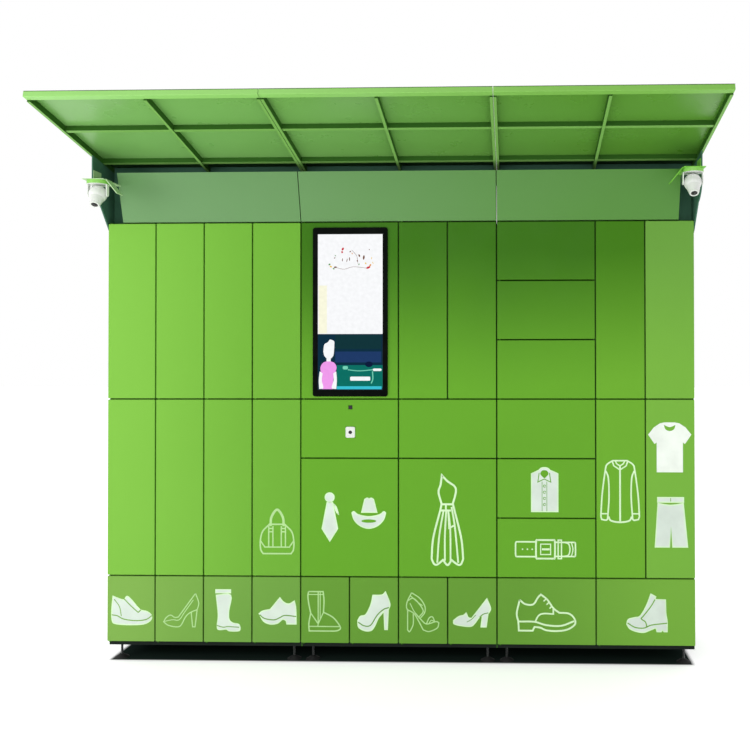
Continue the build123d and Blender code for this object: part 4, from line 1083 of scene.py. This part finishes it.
def times(tree, first, second):
    node = tree.nodes.new("ShaderNodeMath")
    node.operation = "MULTIPLY"
    tree.links.new(first, node.inputs[0])
    tree.links.new(second, node.inputs[1])
    return node.outputs["Value"]


floor_mesh = bpy.data.meshes.new("studio_floor")
floor_mesh.from_pydata([(-30, -30, 0), (30, -30, 0), (30, 30, 0), (-30, 30, 0)], [], [(0, 1, 2, 3)])
floor_material, floor_shader, floor_place = new_material("studio_floor")
tree = floor_material.node_tree
apart = tree.nodes.new("ShaderNodeSeparateXYZ")
tree.links.new(floor_place, apart.inputs["Vector"])
painted_shadow = times(tree, edge_step(tree, apart.outputs["X"], feet_low.x - 0.005, 0.01),
            edge_step(tree, apart.outputs["X"], feet_high.x + 0.005, -0.01))
painted_shadow = times(tree, painted_shadow, edge_step(tree, apart.outputs["Y"], feet_low.y - 0.01, 0.01))
painted_shadow = times(tree, painted_shadow, edge_step(tree, apart.outputs["Y"], feet_high.y + 0.02, -0.01))
pale = between(floor_material, noise(floor_material, floor_place, 0.8), srgb(248, 248, 248),
               srgb(252, 252, 252))
colour = tree.nodes.new("ShaderNodeMix")
colour.data_type = "RGBA"
colour.inputs["B"].default_value = srgb(34, 46, 42)
tree.links.new(painted_shadow, colour.inputs["Factor"])
tree.links.new(pale, colour.inputs["A"])
tree.links.new(colour.outputs["Result"], floor_shader.inputs["Base Color"])
glow = between(floor_material, painted_shadow, (1.0, 1.0, 1.0, 1.0), (0.0, 0.0, 0.0, 1.0))
tree.links.new(glow, floor_shader.inputs["Emission Color"])
floor_shader.inputs["Emission Strength"].default_value = 0.45
floor_shader.inputs["Roughness"].default_value = 0.9
floor_shader.inputs["Specular IOR Level"].default_value = 0.0
floor_mesh.materials.append(floor_material)
floor = bpy.data.objects.new("studio_floor", floor_mesh)
bpy.context.collection.objects.link(floor)

# The sky is white behind the locker and dimmer in front of it, so the doors aren't washed out.
world = bpy.data.worlds.new("studio_sky")
bpy.context.scene.world = world
world.use_nodes = True
tree = world.node_tree
way = tree.nodes.new("ShaderNodeTexCoord").outputs["Generated"]
apart = tree.nodes.new("ShaderNodeSeparateXYZ")
tree.links.new(way, apart.inputs["Vector"])
sky = tree.nodes.new("ShaderNodeMapRange")
sky.interpolation_type = "SMOOTHSTEP"
sky.inputs["From Min"].default_value = -0.15
sky.inputs["From Max"].default_value = 0.25
sky.inputs["To Min"].default_value = 0.62
sky.inputs["To Max"].default_value = 1.0
tree.links.new(apart.outputs["Y"], sky.inputs["Value"])
tree.nodes["Background"].inputs["Color"].default_value = (1.0, 1.0, 1.0, 1.0)
tree.links.new(sky.outputs["Result"], tree.nodes["Background"].inputs["Strength"])
bpy.context.scene.view_settings.view_transform = "Standard"


# %% Soft panels
def soft_panel(name, at, target, size, power):
    """A square area light at one point that faces another."""
    light = bpy.data.lights.new(name, "AREA")
    light.shape = "SQUARE"
    light.size = size
    light.energy = power
    lamp = bpy.data.objects.new(name, light)
    lamp.location = at
    lamp.rotation_euler = (Vector(target) - Vector(at)).to_track_quat("-Z", "Y").to_euler()
    bpy.context.collection.objects.link(lamp)
    return lamp


soft_panel("front_panel", (0.0, -5.5, 3.2), (0.0, 0.0, 1.0), 3.0, 60.0)
soft_panel("left_panel", (-3.6, -2.2, 1.8), (-1.1, face_y, 1.4), 1.6, 40.0)
print("lights set")
